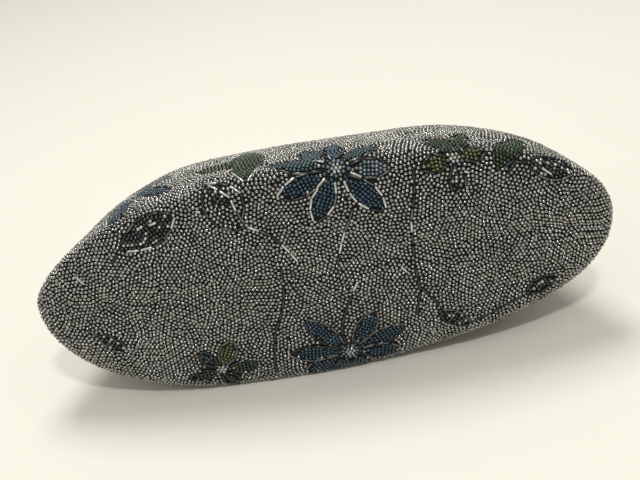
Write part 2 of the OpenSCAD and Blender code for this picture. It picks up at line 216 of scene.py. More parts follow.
def unit(vectors):
    """The vectors at length 1."""
    return vectors / np.maximum(np.linalg.norm(vectors, axis=-1, keepdims=True), 1e-9)


def grid_normals(p, side):
    """Unit normals of a grid of points, pointing out of the bag on that side."""
    return unit(np.cross(np.gradient(p, axis=0), np.gradient(p, axis=1)) * side)


def arc_lengths(p):
    """Distance along each column of a grid, from its first row."""
    steps = np.linalg.norm(np.diff(p, axis=1), axis=-1)
    return np.concatenate([np.zeros((len(p), 1)), np.cumsum(steps, axis=1)], 1)


# steps of the table of the beads' surface, across the bag and along the cloth
TABLE_ACROSS = 400
TABLE_ALONG = 420
# length over which the cloth's relief fades out before the top bar
FADE_RUN = 12.0


@functools.lru_cache(maxsize=None)
def bead_table(side, depth):
    """The surface on which the beads' middles lie, as a table: columns from the left tip to the right,
    and rows at even steps along the cloth from the keel seam to the top bar."""
    columns = np.linspace(-1, 1, TABLE_ACROSS + 1)
    q = np.sin(math.pi / 2 * columns)[:, None]
    w = np.concatenate([np.sin(math.pi / 2 * np.linspace(0, 1, 61)), np.ones(300)])[None, :]
    share = np.concatenate([np.zeros(60), np.linspace(0, 1, 301)])[None, :]
    edge = TIP_RISE * q**2
    outer = cloth_points(q, edge + (BAR_S - edge) * share, w, side, 0.0, RIM)
    inner = edge + depth
    middle = cloth_points(q, inner + (BAR_S - inner) * share, w, side, depth, RIM - depth)
    v = arc_lengths(outer)
    fade = np.clip((BAR_S - FADE_RUN - edge - (BAR_S - edge) * share) / FADE_RUN, 0, 1)
    sink = relief(outer[..., 0], side * v) * fade
    middle = middle - grid_normals(outer, side) * sink[..., None]
    middle[..., 2] = np.maximum(middle[..., 2], depth)
    v = arc_lengths(middle)
    rows = np.linspace(0, 1, TABLE_ALONG + 1)
    even = np.empty((TABLE_ACROSS + 1, TABLE_ALONG + 1, 3))
    for i in range(TABLE_ACROSS + 1):
        for k in range(3):
            even[i, :, k] = np.interp(rows * v[i, -1], v[i], middle[i, :, k])
    return even, v[:, -1]


def look_up(table, a, t):
    """Bilinear reading of a table at a in -1..1 and t in 0..1."""
    nx, ny = table.shape[:2]
    fx = np.clip((a + 1) / 2 * (nx - 1), 0, nx - 1.001)
    fy = np.clip(t * (ny - 1), 0, ny - 1.001)
    i, j = fx.astype(int), fy.astype(int)
    fx, fy = fx - i, fy - j
    if table.ndim > 2:
        fx, fy = fx[:, None], fy[:, None]
    low = table[i, j] * (1 - fy) + table[i, j + 1] * fy
    high = table[i + 1, j] * (1 - fy) + table[i + 1, j + 1] * fy
    return low * (1 - fx) + high * fx


# Bead families, as the pieces' names and the tables below call them. The ground is the first one.
FAMILIES = ("hematite", "navy", "teal", "slate_blue", "leaf_green", "olive", "jet", "pale")
GROUND, NAVY, TEAL, SLATE, GREEN, OLIVE, JET, PALE = range(8)

# Petals and leaves as (side, foot x, foot v, tip x, tip v, width, bead family, outline), in
# millimetres, where x is across the bag and v the distance along the cloth from the keel seam. The
# outline has a word for each edge, the left one first when looking from the foot to the tip. A word
# has a letter for each bugle from the foot on, and its last letter serves for the rest: d for dark,
# g for grey and b for bright. The three are one kind of bugle in painted light: painted shade,
# painted half light and painted highlight.
PETALS = (
    # the large blue flower on the front
    (FRONT, 8.2, 45.4, -12.2, 38.3, 7.4, NAVY, "bgd/dgb"),
    (FRONT, 10.1, 43.2, 0.6, 25.8, 8.0, NAVY, "bgbdb/dbbbd"),
    (FRONT, 14.5, 43.6, 28.4, 26.2, 8.2, NAVY, "ggbb/bbbdd"),
    (FRONT, 16.0, 46.1, 33.1, 43.5, 6.6, SLATE, "d/bgg"),
    (FRONT, 15.2, 49.1, 29.6, 59.8, 7.6, TEAL, "d/g"),
    (FRONT, 11.9, 50.7, 11.4, 71.0, 8.0, NAVY, "d/dg"),
    (FRONT, 9.8, 50.0, -1.2, 67.0, 8.4, TEAL, "bd/bd"),
    (FRONT, 8.2, 47.9, -14.6, 55.4, 8.0, TEAL, "dg/d"),
    # the blue flower on the left shoulder
    (FRONT, -72.8, 60.5, -55.0, 51.6, 9.0, NAVY, "d/d"),
    (FRONT, -75.6, 55.0, -80.8, 35.5, 7.5, NAVY, "d/d"),
    (FRONT, -72.6, 64.6, -57.0, 76.0, 8.0, TEAL, "d/d"),
    (FRONT, -75.5, 66.5, -72.0, 86.0, 8.0, NAVY, "d/d"),
    # the green spray on the right of the front
    (FRONT, 57.4, 44.6, 49.0, 60.5, 6.8, GREEN, "d/d"),
    (FRONT, 59.6, 45.0, 63.5, 64.0, 7.2, GREEN, "d/d"),
    (FRONT, 60.6, 42.4, 71.0, 43.6, 6.0, OLIVE, "d/d"),
    (FRONT, 56.2, 42.2, 44.6, 41.2, 6.4, OLIVE, "d/d"),
    (FRONT, 57.8, 40.0, 56.2, 28.6, 3.0, JET, "/d"),
    (FRONT, 73.8, 34.6, 87.0, 54.5, 10.6, GREEN, "d/d"),
    # leaves on the front
    (FRONT, -24.5, 90.0, -23.4, 46.6, 13.5, GREEN, "dddddgb/ddddddbb"),
    (FRONT, -29.0, 68.0, -45.0, 66.0, 10.0, GREEN, "d/d"),
    (FRONT, -78.2, 23.4, -54.0, 36.2, 11.0, JET, "dgd/bbdgb"),
    (FRONT, 86.0, 35.6, 104.4, 28.0, 8.6, JET, "d/dgg"),
    (FRONT, -39.4, 48.2, -30.0, 37.0, 5.5, JET, "/"),
    # the blue flower that the base carries on to the back
    (BACK, 3.3, 36.8, -10.4, 19.6, 7.2, NAVY, "g/d"),
    (BACK, 7.5, 36.7, 18.7, 20.4, 7.4, NAVY, "g/g"),
    (BACK, 8.8, 38.3, 29.8, 30.2, 6.4, NAVY, "d/g"),
    (BACK, 9.0, 40.1, 27.0, 43.6, 6.8, NAVY, "d/g"),
    (BACK, 2.0, 39.2, -19.6, 36.4, 6.8, NAVY, "d/g"),
    (BACK, 2.2, 41.2, -14.5, 48.0, 6.8, NAVY, "g/d"),
    (BACK, 7.2, 43.0, 13.0, 62.0, 8.0, TEAL, "d/d"),
    (BACK, 3.8, 43.0, -4.0, 61.5, 8.0, TEAL, "d/d"),
    # small flower and leaves low on the base
    (BACK, -48.0, 37.2, -41.8, 24.4, 6.4, OLIVE, "g/g"),
    (BACK, -50.4, 38.0, -56.2, 28.6, 4.6, TEAL, "d/d"),
    (BACK, -51.0, 40.4, -63.6, 42.0, 3.8, GREEN, "d/d"),
    (BACK, -46.4, 39.2, -33.0, 38.8, 4.8, GREEN, "d/d"),
    (BACK, -48.8, 41.6, -43.0, 48.6, 6.2, GREEN, "d/d"),
    (BACK, 44.0, 25.4, 56.6, 35.4, 6.0, JET, "d/g"),
    (BACK, 81.0, 24.6, 94.0, 17.4, 5.6, JET, "d/d"),
    (BACK, -96.4, 15.2, -86.0, 24.2, 5.6, JET, "g/d"),
    # sprays on the upper front and on the back, out of the photograph's sight
    (FRONT, 44, 126, 44, 104, 8.2, NAVY, "db/bd"),
    (FRONT, 47, 127, 62, 112, 8.2, NAVY, "gb/bd"),
    (FRONT, 48, 130, 64, 132, 8.0, SLATE, "d/g"),
    (FRONT, 46, 134, 57, 150, 8.2, TEAL, "d/d"),
    (FRONT, 42, 134, 36, 153, 8.2, NAVY, "d/g"),
    (FRONT, 40, 131, 22, 138, 8.2, TEAL, "bd/d"),
    (FRONT, 40, 127, 24, 115, 8.2, NAVY, "bg/db"),
    (FRONT, -2, 136, -14, 118, 12.0, GREEN, "bd/db"),
    (FRONT, -32, 148, -46, 132, 11.0, JET, "bbd/dgb"),
    (FRONT, 4, 158, 10, 176, 9.0, GREEN, "d/d"),
    (FRONT, -20, 166, -38, 172, 9.0, OLIVE, "g/d"),
    (BACK, -42, 98, -44, 76, 8.2, NAVY, "db/bd"),
    (BACK, -39, 99, -24, 86, 8.2, NAVY, "gb/bd"),
    (BACK, -38, 102, -20, 104, 8.0, SLATE, "d/g"),
    (BACK, -40, 106, -30, 123, 8.2, TEAL, "d/d"),
    (BACK, -44, 106, -50, 125, 8.2, NAVY, "d/g"),
    (BACK, -46, 103, -62, 108, 8.2, TEAL, "bd/d"),
    (BACK, -45, 99, -61, 88, 8.2, NAVY, "bg/db"),
    (BACK, 44, 84, 56, 102, 12.0, GREEN, "bd/db"),
    (BACK, 62, 64, 80, 78, 10.0, JET, "bbd/dgb"),
    (BACK, 14, 116, 26, 134, 10.0, GREEN, "d/d"),
    (BACK, 40, 130, 56, 138, 9.0, OLIVE, "g/d"),
)

# Leaves that have an outline only, with ground beads inside: the petals' numbers, less the family
OPEN_LEAVES = (
    (FRONT, 20.0, 152.0, 30.0, 172.0, 12.0, "bdbd/dbdb"),
    (BACK, 8.0, 84.0, 16.0, 106.0, 13.0, "bdbd/dbdb"),
)

# Lines of bugles: side, points, and a letter for each bugle as in the petals' outlines
STEMS = (
    # the round leaf on the left of the front, with its rib
    (FRONT, ((-40, 49.7), (-35, 48), (-29, 45.2), (-26, 42.5), (-25.4, 36), (-27.2, 32)), "bdbdgb"),
    (FRONT, ((-40, 49.7), (-41.2, 42.9), (-42, 36.0), (-37.4, 29.5), (-31, 26.8), (-26.4, 28.4)), "ddgdgd"),
    (FRONT, ((-39.1, 48.3), (-34.4, 44.2), (-30.6, 42), (-29.8, 36.7), (-26.6, 29.4)), "bbbgb"),
    (FRONT, ((-26.2, 28.0), (-21.4, 25.4), (-17.8, 23.0), (-12.9, 16.5), (-8.9, 8.8)), "bgdb"),
    (FRONT, ((-45.1, 36.9), (-43.0, 36.3)), "b"),
    (FRONT, ((-64.9, 32.8), (-61.4, 33.8)), "b"),
    (FRONT, ((-31.2, 57.2), (-28.7, 60.3)), "b"),
    # stems that run down from the flowers, and over the keel seam
    (FRONT, ((15.9, 28.9), (13.2, 22.4), (10.8, 18.1), (8.4, 11.0), (6.2, 4.3)), "ggbbd"),
    (FRONT, ((41.4, 42.2), (41.1, 33.0), (38.0, 20.4), (37.7, 17.5), (37.2, 2.0)), "dddgbdd"),
    (BACK, ((37.2, 2), (37.7, 14.0), (35, 26)), "d"),
    (BACK, ((13.4, 4.8), (10.8, 9.1)), "b"),
    (BACK, ((10.0, 10.9), (7.4, 15.9), (5.3, 21.1), (3.2, 27.5), (4.6, 35)), "d"),
    (BACK, ((31.4, 0.8), (33.6, 4.4)), "b"),
    (BACK, ((-16.6, 1.1), (-16.9, 5.5), (-19.5, 14.7), (-23.5, 23.2), (-26.4, 38.2), (-26.3, 46.0)), "d"),
    (FRONT, ((-16.0, 8), (-16.6, 1)), "d"),
    (FRONT, ((61.0, 36.5), (63.2, 35.4)), "b"),
    (FRONT, ((61.5, 34.2), (61.0, 29.8)), "g"),
    (FRONT, ((56.8, 27.9), (59.0, 29.3)), "g"),
    (FRONT, ((91.6, 32.4), (95.6, 28.8)), "b"),
    (FRONT, ((102.0, 30.3), (102.6, 27.7)), "b"),
    (FRONT, ((86.0, 35.6), (82, 37), (78, 33)), "d"),
    (FRONT, ((-96, 8), (-100, 13)), "b"),
    (BACK, ((-100, 13), (-96.4, 15.2)), "g"),
    (BACK, ((48, 28), (42, 18), (38, 12)), "d"),
    (BACK, ((56, 35), (66, 31), (80, 25)), "d"),
    (FRONT, ((-78.2, 23.4), (-84, 17)), "d"),
    # stems out of the photograph's sight
    (FRONT, ((44, 103), (42, 84), (43, 66)), "dbd"),
    (FRONT, ((-14, 117), (-18, 104), (-23, 94)), "bd"),
    (FRONT, ((4, 158), (2, 146), (-2, 136)), "d"),
    (FRONT, ((20, 152), (25, 162), (30, 172)), "d"),
    (BACK, ((-43, 76), (-46, 64), (-50, 52)), "dbd"),
    (BACK, ((44, 84), (40, 68), (30, 54)), "dbd"),
    (BACK, ((8, 84), (12, 95), (16, 106)), "d"),
)

# Middles of the flowers, each a ring of small beads about one: side, x and v
CENTRES = (
    (FRONT, 12.1, 46.8),
    (FRONT, -76.4, 60.4),
    (FRONT, 58.2, 42.6),
    (FRONT, 44.0, 130.0),
    (BACK, 5.5, 39.6),
    (BACK, -49.0, 39.4),
    (BACK, -42.0, 102.0),
)

BEAD_R = 0.76
# depth of the beads' middles under the bag's outer form
BEAD_DEPTH = 0.78
# distance between ground beads, and between an ornament's rows and the beads in them
BEAD_PITCH = 1.68
ROW_PITCH = 1.55
BUGLE_LENGTH = 4.9
BUGLE_PITCH = 5.4
# distance of a ground bead from the middle line of a bugle
BESIDE_BUGLE = 1.36
# distances of an outline from the beads of a petal, and from the edge of an open leaf
PETAL_MARGIN = 0.7
LEAF_MARGIN = 0.4
# rings of beads in a flower's middle: number of beads, radius and family
CENTRE_RINGS = ((1, 0.0, PALE), (6, 1.6, PALE), (11, 3.1, SLATE))
# least distances: of an ornament's bead from a bugle and from its like, of a ground bead's first
# place from the ornament, and of two ground beads at last
CLEAR_BUGLE = 1.08
CLEAR_BEAD = 1.05
CLEAR_START = 1.15
CLEAR_GROUND = 1.02
# pushing apart: how far a bead feels another, the distance two ground beads try to keep, the share of
# what is missing that a bead moves away from a fixed or a free one, and the longest move
PAIR_REACH = BEAD_PITCH * 1.35
GROUND_APART = BEAD_PITCH * 1.08
PUSH_FROM_FIXED = 0.8
PUSH_FROM_FREE = 0.42
MOST_MOVE = 0.5
# share of a black leaf's beads made pale, as painted glints among the black ones
PAINTED_GLINT_SHARE = 0.28
# height of the bugles over the beads' middles
BUGLE_LIFT = 0.2
# how unevenly the ground beads rise, in millimetres, and lean; and how many one piece may have
BEAD_LIFT = 0.09
BEAD_LEAN = 0.22
MOST_BEADS = 4300
SEED = 26


def place(side, x, v, depth=BEAD_DEPTH):
    """Table places (a, t) of points given as x across and v along the cloth, by Newton's steps on x."""
    table, lengths = bead_table(side, depth)
    x, v = np.asarray(x, float), np.asarray(v, float)
    columns = np.linspace(-1, 1, len(lengths))
    a = np.clip(2 / math.pi * np.arcsin(np.clip(x / 118, -1, 1)), -0.99, 0.99)
    for _ in range(14):
        t = np.clip(v / np.interp(a, columns, lengths), 0, 1)
        here = look_up(table, a, t)[:, 0]
        slope = (look_up(table, a + 0.004, t)[:, 0] - look_up(table, a - 0.004, t)[:, 0]) / 0.008
        a = np.clip(a - np.clip((here - x) / np.maximum(slope, 20), -0.1, 0.1), -0.995, 0.995)
    return a, np.clip(v / np.interp(a, columns, lengths), 0, 1)


def petal_axes(foot, tip):
    """Foot and length of a petal, and its directions along and across."""
    foot, tip = np.array(foot), np.array(tip)
    long = np.linalg.norm(tip - foot)
    along = (tip - foot) / long
    return foot, long, along, np.array([-along[1], along[0]])


def petal_beads(foot, tip, width):
    """Rows of beads across a pointed petal: its half width is a sine of the share of its length, with
    the fullest part past the middle."""
    foot, long, along, across = petal_axes(foot, tip)
    rows = np.arange(0.9, long - 0.4, ROW_PITCH)
    half = width / 2 * np.sin(math.pi * (rows / long) ** 1.12) ** 0.85
    counts = np.maximum(1, np.round(2 * half / ROW_PITCH)).astype(int)
    row = np.repeat(np.arange(len(rows)), counts)
    first = np.repeat(np.cumsum(counts) - counts, counts)
    off = (np.arange(len(row)) - first - (counts[row] - 1) / 2) * ROW_PITCH
    return foot + rows[row, None] * along + off[:, None] * across, across


def petal_edge(foot, tip, width, side_sign, extra):
    """The outline of a petal on one side, as a polyline a little outside its beads."""
    foot, long, along, across = petal_axes(foot, tip)
    share = np.linspace(0.06, 1.0, 25)
    half = width / 2 * np.sin(math.pi * share**1.12) ** 0.85 + extra
    return foot + (share * long)[:, None] * along + half[:, None] * (across * side_sign)


def along_line(points, pitch, length):
    """Starts and ends of pieces of one length, set end to end along a polyline with even gaps."""
    points = np.asarray(points, float)
    steps = np.linalg.norm(np.diff(points, axis=0), axis=1)
    far = np.concatenate([[0], np.cumsum(steps)])
    count = max(1, int((far[-1] + 0.3 * pitch) / pitch))
    middles = (np.arange(count) + 0.5) * (far[-1] / count)
    half = min(length, far[-1] / count - 0.3) / 2
    return tuple(
        np.stack([np.interp(middles + sign * half, far, points[:, k]) for k in range(2)], 1)
        for sign in (-1, 1)
    )


def bugle_line(points, word):
    """Bugles end to end along a polyline, as rows of (x0, v0, x1, v1, tone) from the word's letters."""
    start, end = along_line(points, BUGLE_PITCH, BUGLE_LENGTH)
    tones = ["dgb".index(word[min(number, len(word) - 1)]) for number in range(len(start))]
    return np.column_stack([start, end, tones])


def outline_bugles(foot, tip, width, margin, outline):
    """Bugles along the two edges of a petal or a leaf, as the outline's words say."""
    edges = zip((1, -1), outline.split("/"))
    return [bugle_line(petal_edge(foot, tip, width, sign, margin), word) for sign, word in edges if word]


def of_side(table, side):
    """The rows of one side, less their first word."""
    return [row[1:] for row in table if row[0] == side]


def gather_ornament(side):
    """All the beads and bugles of the ornament on one side, in (x, v): rows of (x, v, x of axis, v of
    axis, family) for beads, and (x0, v0, x1, v1, tone) for bugles. Some beads of a black leaf are
    pale, as painted glints."""
    rng = np.random.default_rng(SEED + 5 * side)
    beads, bugles = [], []
    for x0, v0, x1, v1, width, family, outline in of_side(PETALS, side):
        points, across = petal_beads((x0, v0), (x1, v1), width)
        families = np.full(len(points), family)
        # pale beads among the black ones are painted glints
        if family == JET:
            families[rng.random(len(points)) < PAINTED_GLINT_SHARE] = PALE
        beads.append(np.column_stack([points, np.broadcast_to(across, points.shape), families]))
        bugles += outline_bugles((x0, v0), (x1, v1), width, PETAL_MARGIN, outline)
    for x0, v0, x1, v1, width, outline in of_side(OPEN_LEAVES, side):
        bugles += outline_bugles((x0, v0), (x1, v1), width, LEAF_MARGIN, outline)
    bugles += [bugle_line(points, word) for points, word in of_side(STEMS, side)]
    for x, v in of_side(CENTRES, side):
        for count, far, family in CENTRE_RINGS:
            turn = np.arange(count) * math.tau / count
            ring = np.column_stack([x + far * np.cos(turn), v + far * np.sin(turn)])
            families = np.full(count, float(family))
            beads.append(np.column_stack([ring, -np.sin(turn), np.cos(turn), families]))
    return np.concatenate(beads), np.concatenate(bugles)


def bead_frame(side, a, t):
    """Middle, outward normal and the two surface slopes of the bead surface at (a, t)."""
    by_a, by_t, normal = bead_slopes(side)
    middle, n, by_a, by_t = (
        look_up(table, a, t) for table in (bead_table(side, BEAD_DEPTH)[0], normal, by_a, by_t)
    )
    return middle, unit(n), by_a, by_t


@functools.lru_cache(maxsize=None)
def bead_slopes(side):
    """Slopes of the bead table by a and by t, and its outward normals."""
    table, _ = bead_table(side, BEAD_DEPTH)
    by_a = np.gradient(table, 2 / TABLE_ACROSS, axis=0)
    by_t = np.gradient(table, 1 / TABLE_ALONG, axis=1)
    return by_a, by_t, grid_normals(table, side)


def row_direction(x, v):
    """Direction in which the ground beads are strung, as an angle that wanders in slow waves."""
    wander = np.sin(x / 17 + 1.7 * np.sin(v / 21)) + np.sin(v / 13 - 1.2 * np.cos(x / 27))
    return 1.1 * wander + 0.6 * np.sin((x + v) / 6.5)


def neighbour_pairs(points, reach):
    """Pairs of points nearer than reach: the points are sorted into cells, and the cells searched."""
    cell = np.floor(points / reach).astype(np.int64)
    cell -= cell.min(0) - 1
    size = cell.max(0) + 2
    key = (cell[:, 0] * size[1] + cell[:, 1]) * size[2] + cell[:, 2]
    order = np.argsort(key, kind="stable")
    keys = key[order]
    found = []
    for dx in (0, 1):
        for dy in (-1, 0, 1):
            for dz in (-1, 0, 1):
                if (dx, dy, dz) < (0, 0, 0):
                    continue
                aim = key + (dx * size[1] + dy) * size[2] + dz
                low = np.searchsorted(keys, aim, "left")
                count = np.searchsorted(keys, aim, "right") - low
                i = np.repeat(np.arange(len(points)), count)
                first = np.repeat(np.cumsum(count) - count, count)
                j = order[np.repeat(low, count) + np.arange(len(i)) - first]
                near = np.linalg.norm(points[i] - points[j], axis=1) < reach
                if (dx, dy, dz) == (0, 0, 0):
                    near &= i < j
                found.append(np.stack([i[near], j[near]]))
    return np.concatenate(found, 1)


def spread_seeds(side, count, rng):
    """That many places (a, t), spread at random by area over one side's bead table."""
    by_a, by_t, _ = bead_slopes(side)
    area = np.linalg.norm(np.cross(by_a, by_t), axis=-1)[:-1, :-1]
    share = np.cumsum(area.ravel())
    pick = np.searchsorted(share, (np.arange(count) + rng.random(count)) / count * share[-1])
    pick = np.minimum(pick, area.size - 1)
    i, j = np.divmod(pick, area.shape[1])
    return -1 + 2 * (i + rng.random(count)) / TABLE_ACROSS, (j + rng.random(count)) / TABLE_ALONG


def keep_on_cloth(side, a, t):
    """Keeps the beads clear of the side seams and of the frame's mouth, from the hinges to the bar."""
    a = np.clip(a, -0.975, 0.975)
    t = np.clip(t, 0, 1)
    spot = look_up(bead_table(side, BEAD_DEPTH)[0], a, t)
    past = np.maximum(0, spot[:, 1] - HINGE_Y - CORNER_ALONG * math.cos(FRAME_TILT))
    edge = np.minimum(past / math.cos(FRAME_TILT), MOUTH_R - 0.5)
    mouth = CORNER_HALF + np.sqrt(np.maximum(0, (MOUTH_R - 1.6) ** 2 - edge**2))
    beside = spot[:, 1] > HINGE_Y - 4
    over = np.where(beside, np.maximum(0, np.abs(spot[:, 0]) - mouth), 0)
    slope = look_up(bead_slopes(side)[0], a, t)[:, 0]
    a = a - np.sign(a) * over / np.maximum(slope, 25)
    top = (HINGE_Y + (BAR_ALONG - 2.0) * math.cos(FRAME_TILT) - spot[:, 1]) / 200
    return a, np.where(top < 0, t + top, t)


def lay_ornament():
    """The ornament's beads and bugles on the cloth, and points along the bugles. The later of two beads
    that touch is left out, and so is a bead under a bugle."""
    fixed, tubes = [], []
    for side in (FRONT, BACK):
        beads, bugles = gather_ornament(side)
        ends = [place(side, bugles[:, k], bugles[:, k + 1]) for k in (0, 2)]
        spots = [bead_frame(side, a, t) for a, t in ends]
        middle = (spots[0][0] + spots[1][0]) / 2
        axis = spots[1][0] - spots[0][0]
        normal = unit(spots[0][1] + spots[1][1])
        tubes.append((np.full(len(middle), side), middle, axis, normal, bugles[:, 4].astype(int)))
        a, t = place(side, beads[:, 0], beads[:, 1])
        spot, normal = bead_frame(side, a, t)[:2]
        ahead = place(side, beads[:, 0] + 0.4 * beads[:, 2], beads[:, 1] + 0.4 * beads[:, 3])
        axis = bead_frame(side, *ahead)[0] - spot
        fixed.append((np.full(len(spot), side), spot, axis, normal, beads[:, 4].astype(int)))
    beads = [np.concatenate(part) for part in zip(*fixed)]
    tube = [np.concatenate(part) for part in zip(*tubes)]
    steps = np.linspace(-0.4, 0.4, 5)[:, None, None]
    along = (tube[1][None] + steps * tube[2][None]).reshape(-1, 3)
    count = len(beads[1])
    every = np.concatenate([beads[1], along])
    pairs = neighbour_pairs(every, CLEAR_BUGLE)
    gap = np.linalg.norm(every[pairs[0]] - every[pairs[1]], axis=1)
    later, first = pairs.max(0), pairs.min(0)
    lost = np.zeros(count, bool)
    lost[later[(later < count) & (gap < CLEAR_BEAD)]] = True
    lost[first[(first < count) & (later >= count)]] = True
    return [part[~lost] for part in beads], tube, along


@functools.lru_cache(maxsize=None)
def lay_beads():
    """Places every bead. The ornament's are fixed; the ground's start at random and push each other
    apart along the cloth, until they lie as closely and evenly as beads strung in short rows."""
    rng = np.random.default_rng(SEED)
    beads, tube, along = lay_ornament()
    solid = np.concatenate([beads[1], along])
    ground = []
    for side in (FRONT, BACK):
        by_a, by_t, _ = bead_slopes(side)
        area = np.linalg.norm(np.cross(by_a, by_t), axis=-1).sum()
        area = area * (2 / TABLE_ACROSS) * (1 / TABLE_ALONG)
        a, t = spread_seeds(side, int(area / (0.866 * BEAD_PITCH**2)), rng)
        ground.append((np.full(len(a), side), a, t))
    side_of, a, t = (np.concatenate(part) for part in zip(*ground))

    def settle(side_of, a, t):
        """Takes beads past the keel seam to the other side, and gives all their places on the cloth."""
        over = t < 0
        side_of[over] *= -1
        t[over] *= -1
        parts = [np.empty((len(a), 3)) for _ in range(4)]
        for side in (FRONT, BACK):
            mine = side_of == side
            a[mine], t[mine] = keep_on_cloth(side, a[mine], t[mine])
            for part, found in zip(parts, bead_frame(side, a[mine], t[mine])):
                part[mine] = found
        return parts

    here = settle(side_of, a, t)[0]
    pairs = neighbour_pairs(np.concatenate([here, solid]), CLEAR_START)
    free = np.ones(len(a), bool)
    free[pairs.min(0)[(pairs.max(0) >= len(a)) & (pairs.min(0) < len(a))]] = False
    side_of, a, t = side_of[free], a[free], t[free]
    count = len(a)
    for step in range(48):
        here, _, by_a, by_t = settle(side_of, a, t)
        every = np.concatenate([here, solid])
        if step % 4 == 0:
            pairs = neighbour_pairs(every, PAIR_REACH)
            pairs = pairs[:, pairs.min(0) < count]
        apart = every[pairs[0]] - every[pairs[1]]
        gap = np.maximum(np.linalg.norm(apart, axis=1), 1e-6)
        other = pairs.max(0)
        wanted = np.where(other >= count + len(beads[1]), BESIDE_BUGLE, GROUND_APART)
        push = np.maximum(0, wanted - gap) / gap
        push = push * np.where(other >= count, PUSH_FROM_FIXED, PUSH_FROM_FREE)
        move = np.zeros((len(every), 3))
        for k in range(3):
            move[:, k] += np.bincount(pairs[0], push * apart[:, k], len(every))
            move[:, k] -= np.bincount(pairs[1], push * apart[:, k], len(every))
        move = move[:count]
        far = np.linalg.norm(move, axis=1, keepdims=True)
        move *= np.minimum(1, MOST_MOVE / np.maximum(far, 1e-9))
        aa, tt, at = (by_a * by_a).sum(1), (by_t * by_t).sum(1), (by_a * by_t).sum(1)
        ma, mt = (by_a * move).sum(1), (by_t * move).sum(1)
        whole = np.maximum(aa * tt - at * at, 1e-3 * aa * tt + 1e-6)
        a = a + np.clip((tt * ma - at * mt) / whole, -0.02, 0.02)
        t = t + np.clip((aa * mt - at * ma) / whole, -0.01, 0.01)
    here, up, by_a, by_t = settle(side_of, a, t)
    keep = np.ones(count, bool)
    keep[neighbour_pairs(here, CLEAR_GROUND).max(0)] = False
    v = np.where(side_of == FRONT, t * bead_lengths(FRONT, a), -t * bead_lengths(BACK, a))
    turn = row_direction(here[:, 0], v)
    flat = unit(by_a)
    strung = np.cos(turn)[:, None] * flat + np.sin(turn)[:, None] * np.cross(up, flat)
    return beads, tube, (side_of[keep], here[keep], strung[keep], up[keep])


def bead_lengths(side, a):
    """Length of the cloth's column at a, from the keel seam to the top bar."""
    return np.interp(a, np.linspace(-1, 1, TABLE_ACROSS + 1), bead_table(side, BEAD_DEPTH)[1])


def turned_form(rings, sides):
    """A closed form turned about its axis: rings are (place along the axis, radius). Gives points as
    (along, across, up), faces as loops of point numbers, their sizes, and a place on a tile for each
    loop: bands below, and the two ends as small rounds above."""
    turn = np.arange(sides) * math.tau / sides
    circle = np.column_stack([np.cos(turn), np.sin(turn)])
    points = np.concatenate([np.insert(radius * circle, 0, u, axis=1) for u, radius in rings])
    loops, tile = [], []
    bands = len(rings) - 1
    for k in range(bands):
        low, high = 0.04 + 0.72 * k / bands, 0.04 + 0.72 * (k + 1) / bands
        for i in range(sides):
            n = (i + 1) % sides
            loops += [k * sides + i, k * sides + n, (k + 1) * sides + n, (k + 1) * sides + i]
            left, right = 0.04 + 0.92 * i / sides, 0.04 + 0.92 * (i + 1) / sides
            tile += [(left, low), (right, low), (right, high), (left, high)]
    for start, order, middle in ((0, -1, 0.3), (bands * sides, 1, 0.7)):
        loops += [start + i for i in range(sides)[::order]]
        tile += [(middle + 0.08 * x, 0.88 + 0.08 * y) for x, y in circle[::order]]
    sizes = [4] * (bands * sides) + [sides, sides]
    return points, np.array(loops), np.array(sizes), np.array(tile)


def mesh_piece(name, points, loops, sizes, material):
    """Makes an object from points in millimetres and from faces given as loops of point numbers."""
    mesh = bpy.data.meshes.new(name)
    mesh.vertices.add(len(points))
    mesh.vertices.foreach_set("co", (np.asarray(points) * MM).astype(np.float32).ravel())
    mesh.loops.add(len(loops))
    mesh.loops.foreach_set("vertex_index", np.asarray(loops, np.int32))
    mesh.polygons.add(len(sizes))
    mesh.polygons.foreach_set("loop_start", (np.cumsum(sizes) - sizes).astype(np.int32))
    mesh.polygons.foreach_set("use_smooth", np.ones(len(sizes), bool))
    mesh.update(calc_edges=True)
    mesh.validate()
    mesh.materials.append(material)
    piece = bpy.data.objects.new(name, mesh)
    bpy.context.scene.collection.objects.link(piece)
    return piece


def grid_quads(shape):
    """Faces of a grid of points, as point numbers."""
    number = np.arange(shape[0] * shape[1]).reshape(shape)
    corners = (number[:-1, :-1], number[1:, :-1], number[1:, 1:], number[:-1, 1:])
    return np.stack(corners, -1).reshape(-1, 4)


def quad_piece(name, points, quads, material):
    """Makes an object whose faces all have four corners."""
    return mesh_piece(name, points, quads.ravel(), np.full(len(quads), 4), material)


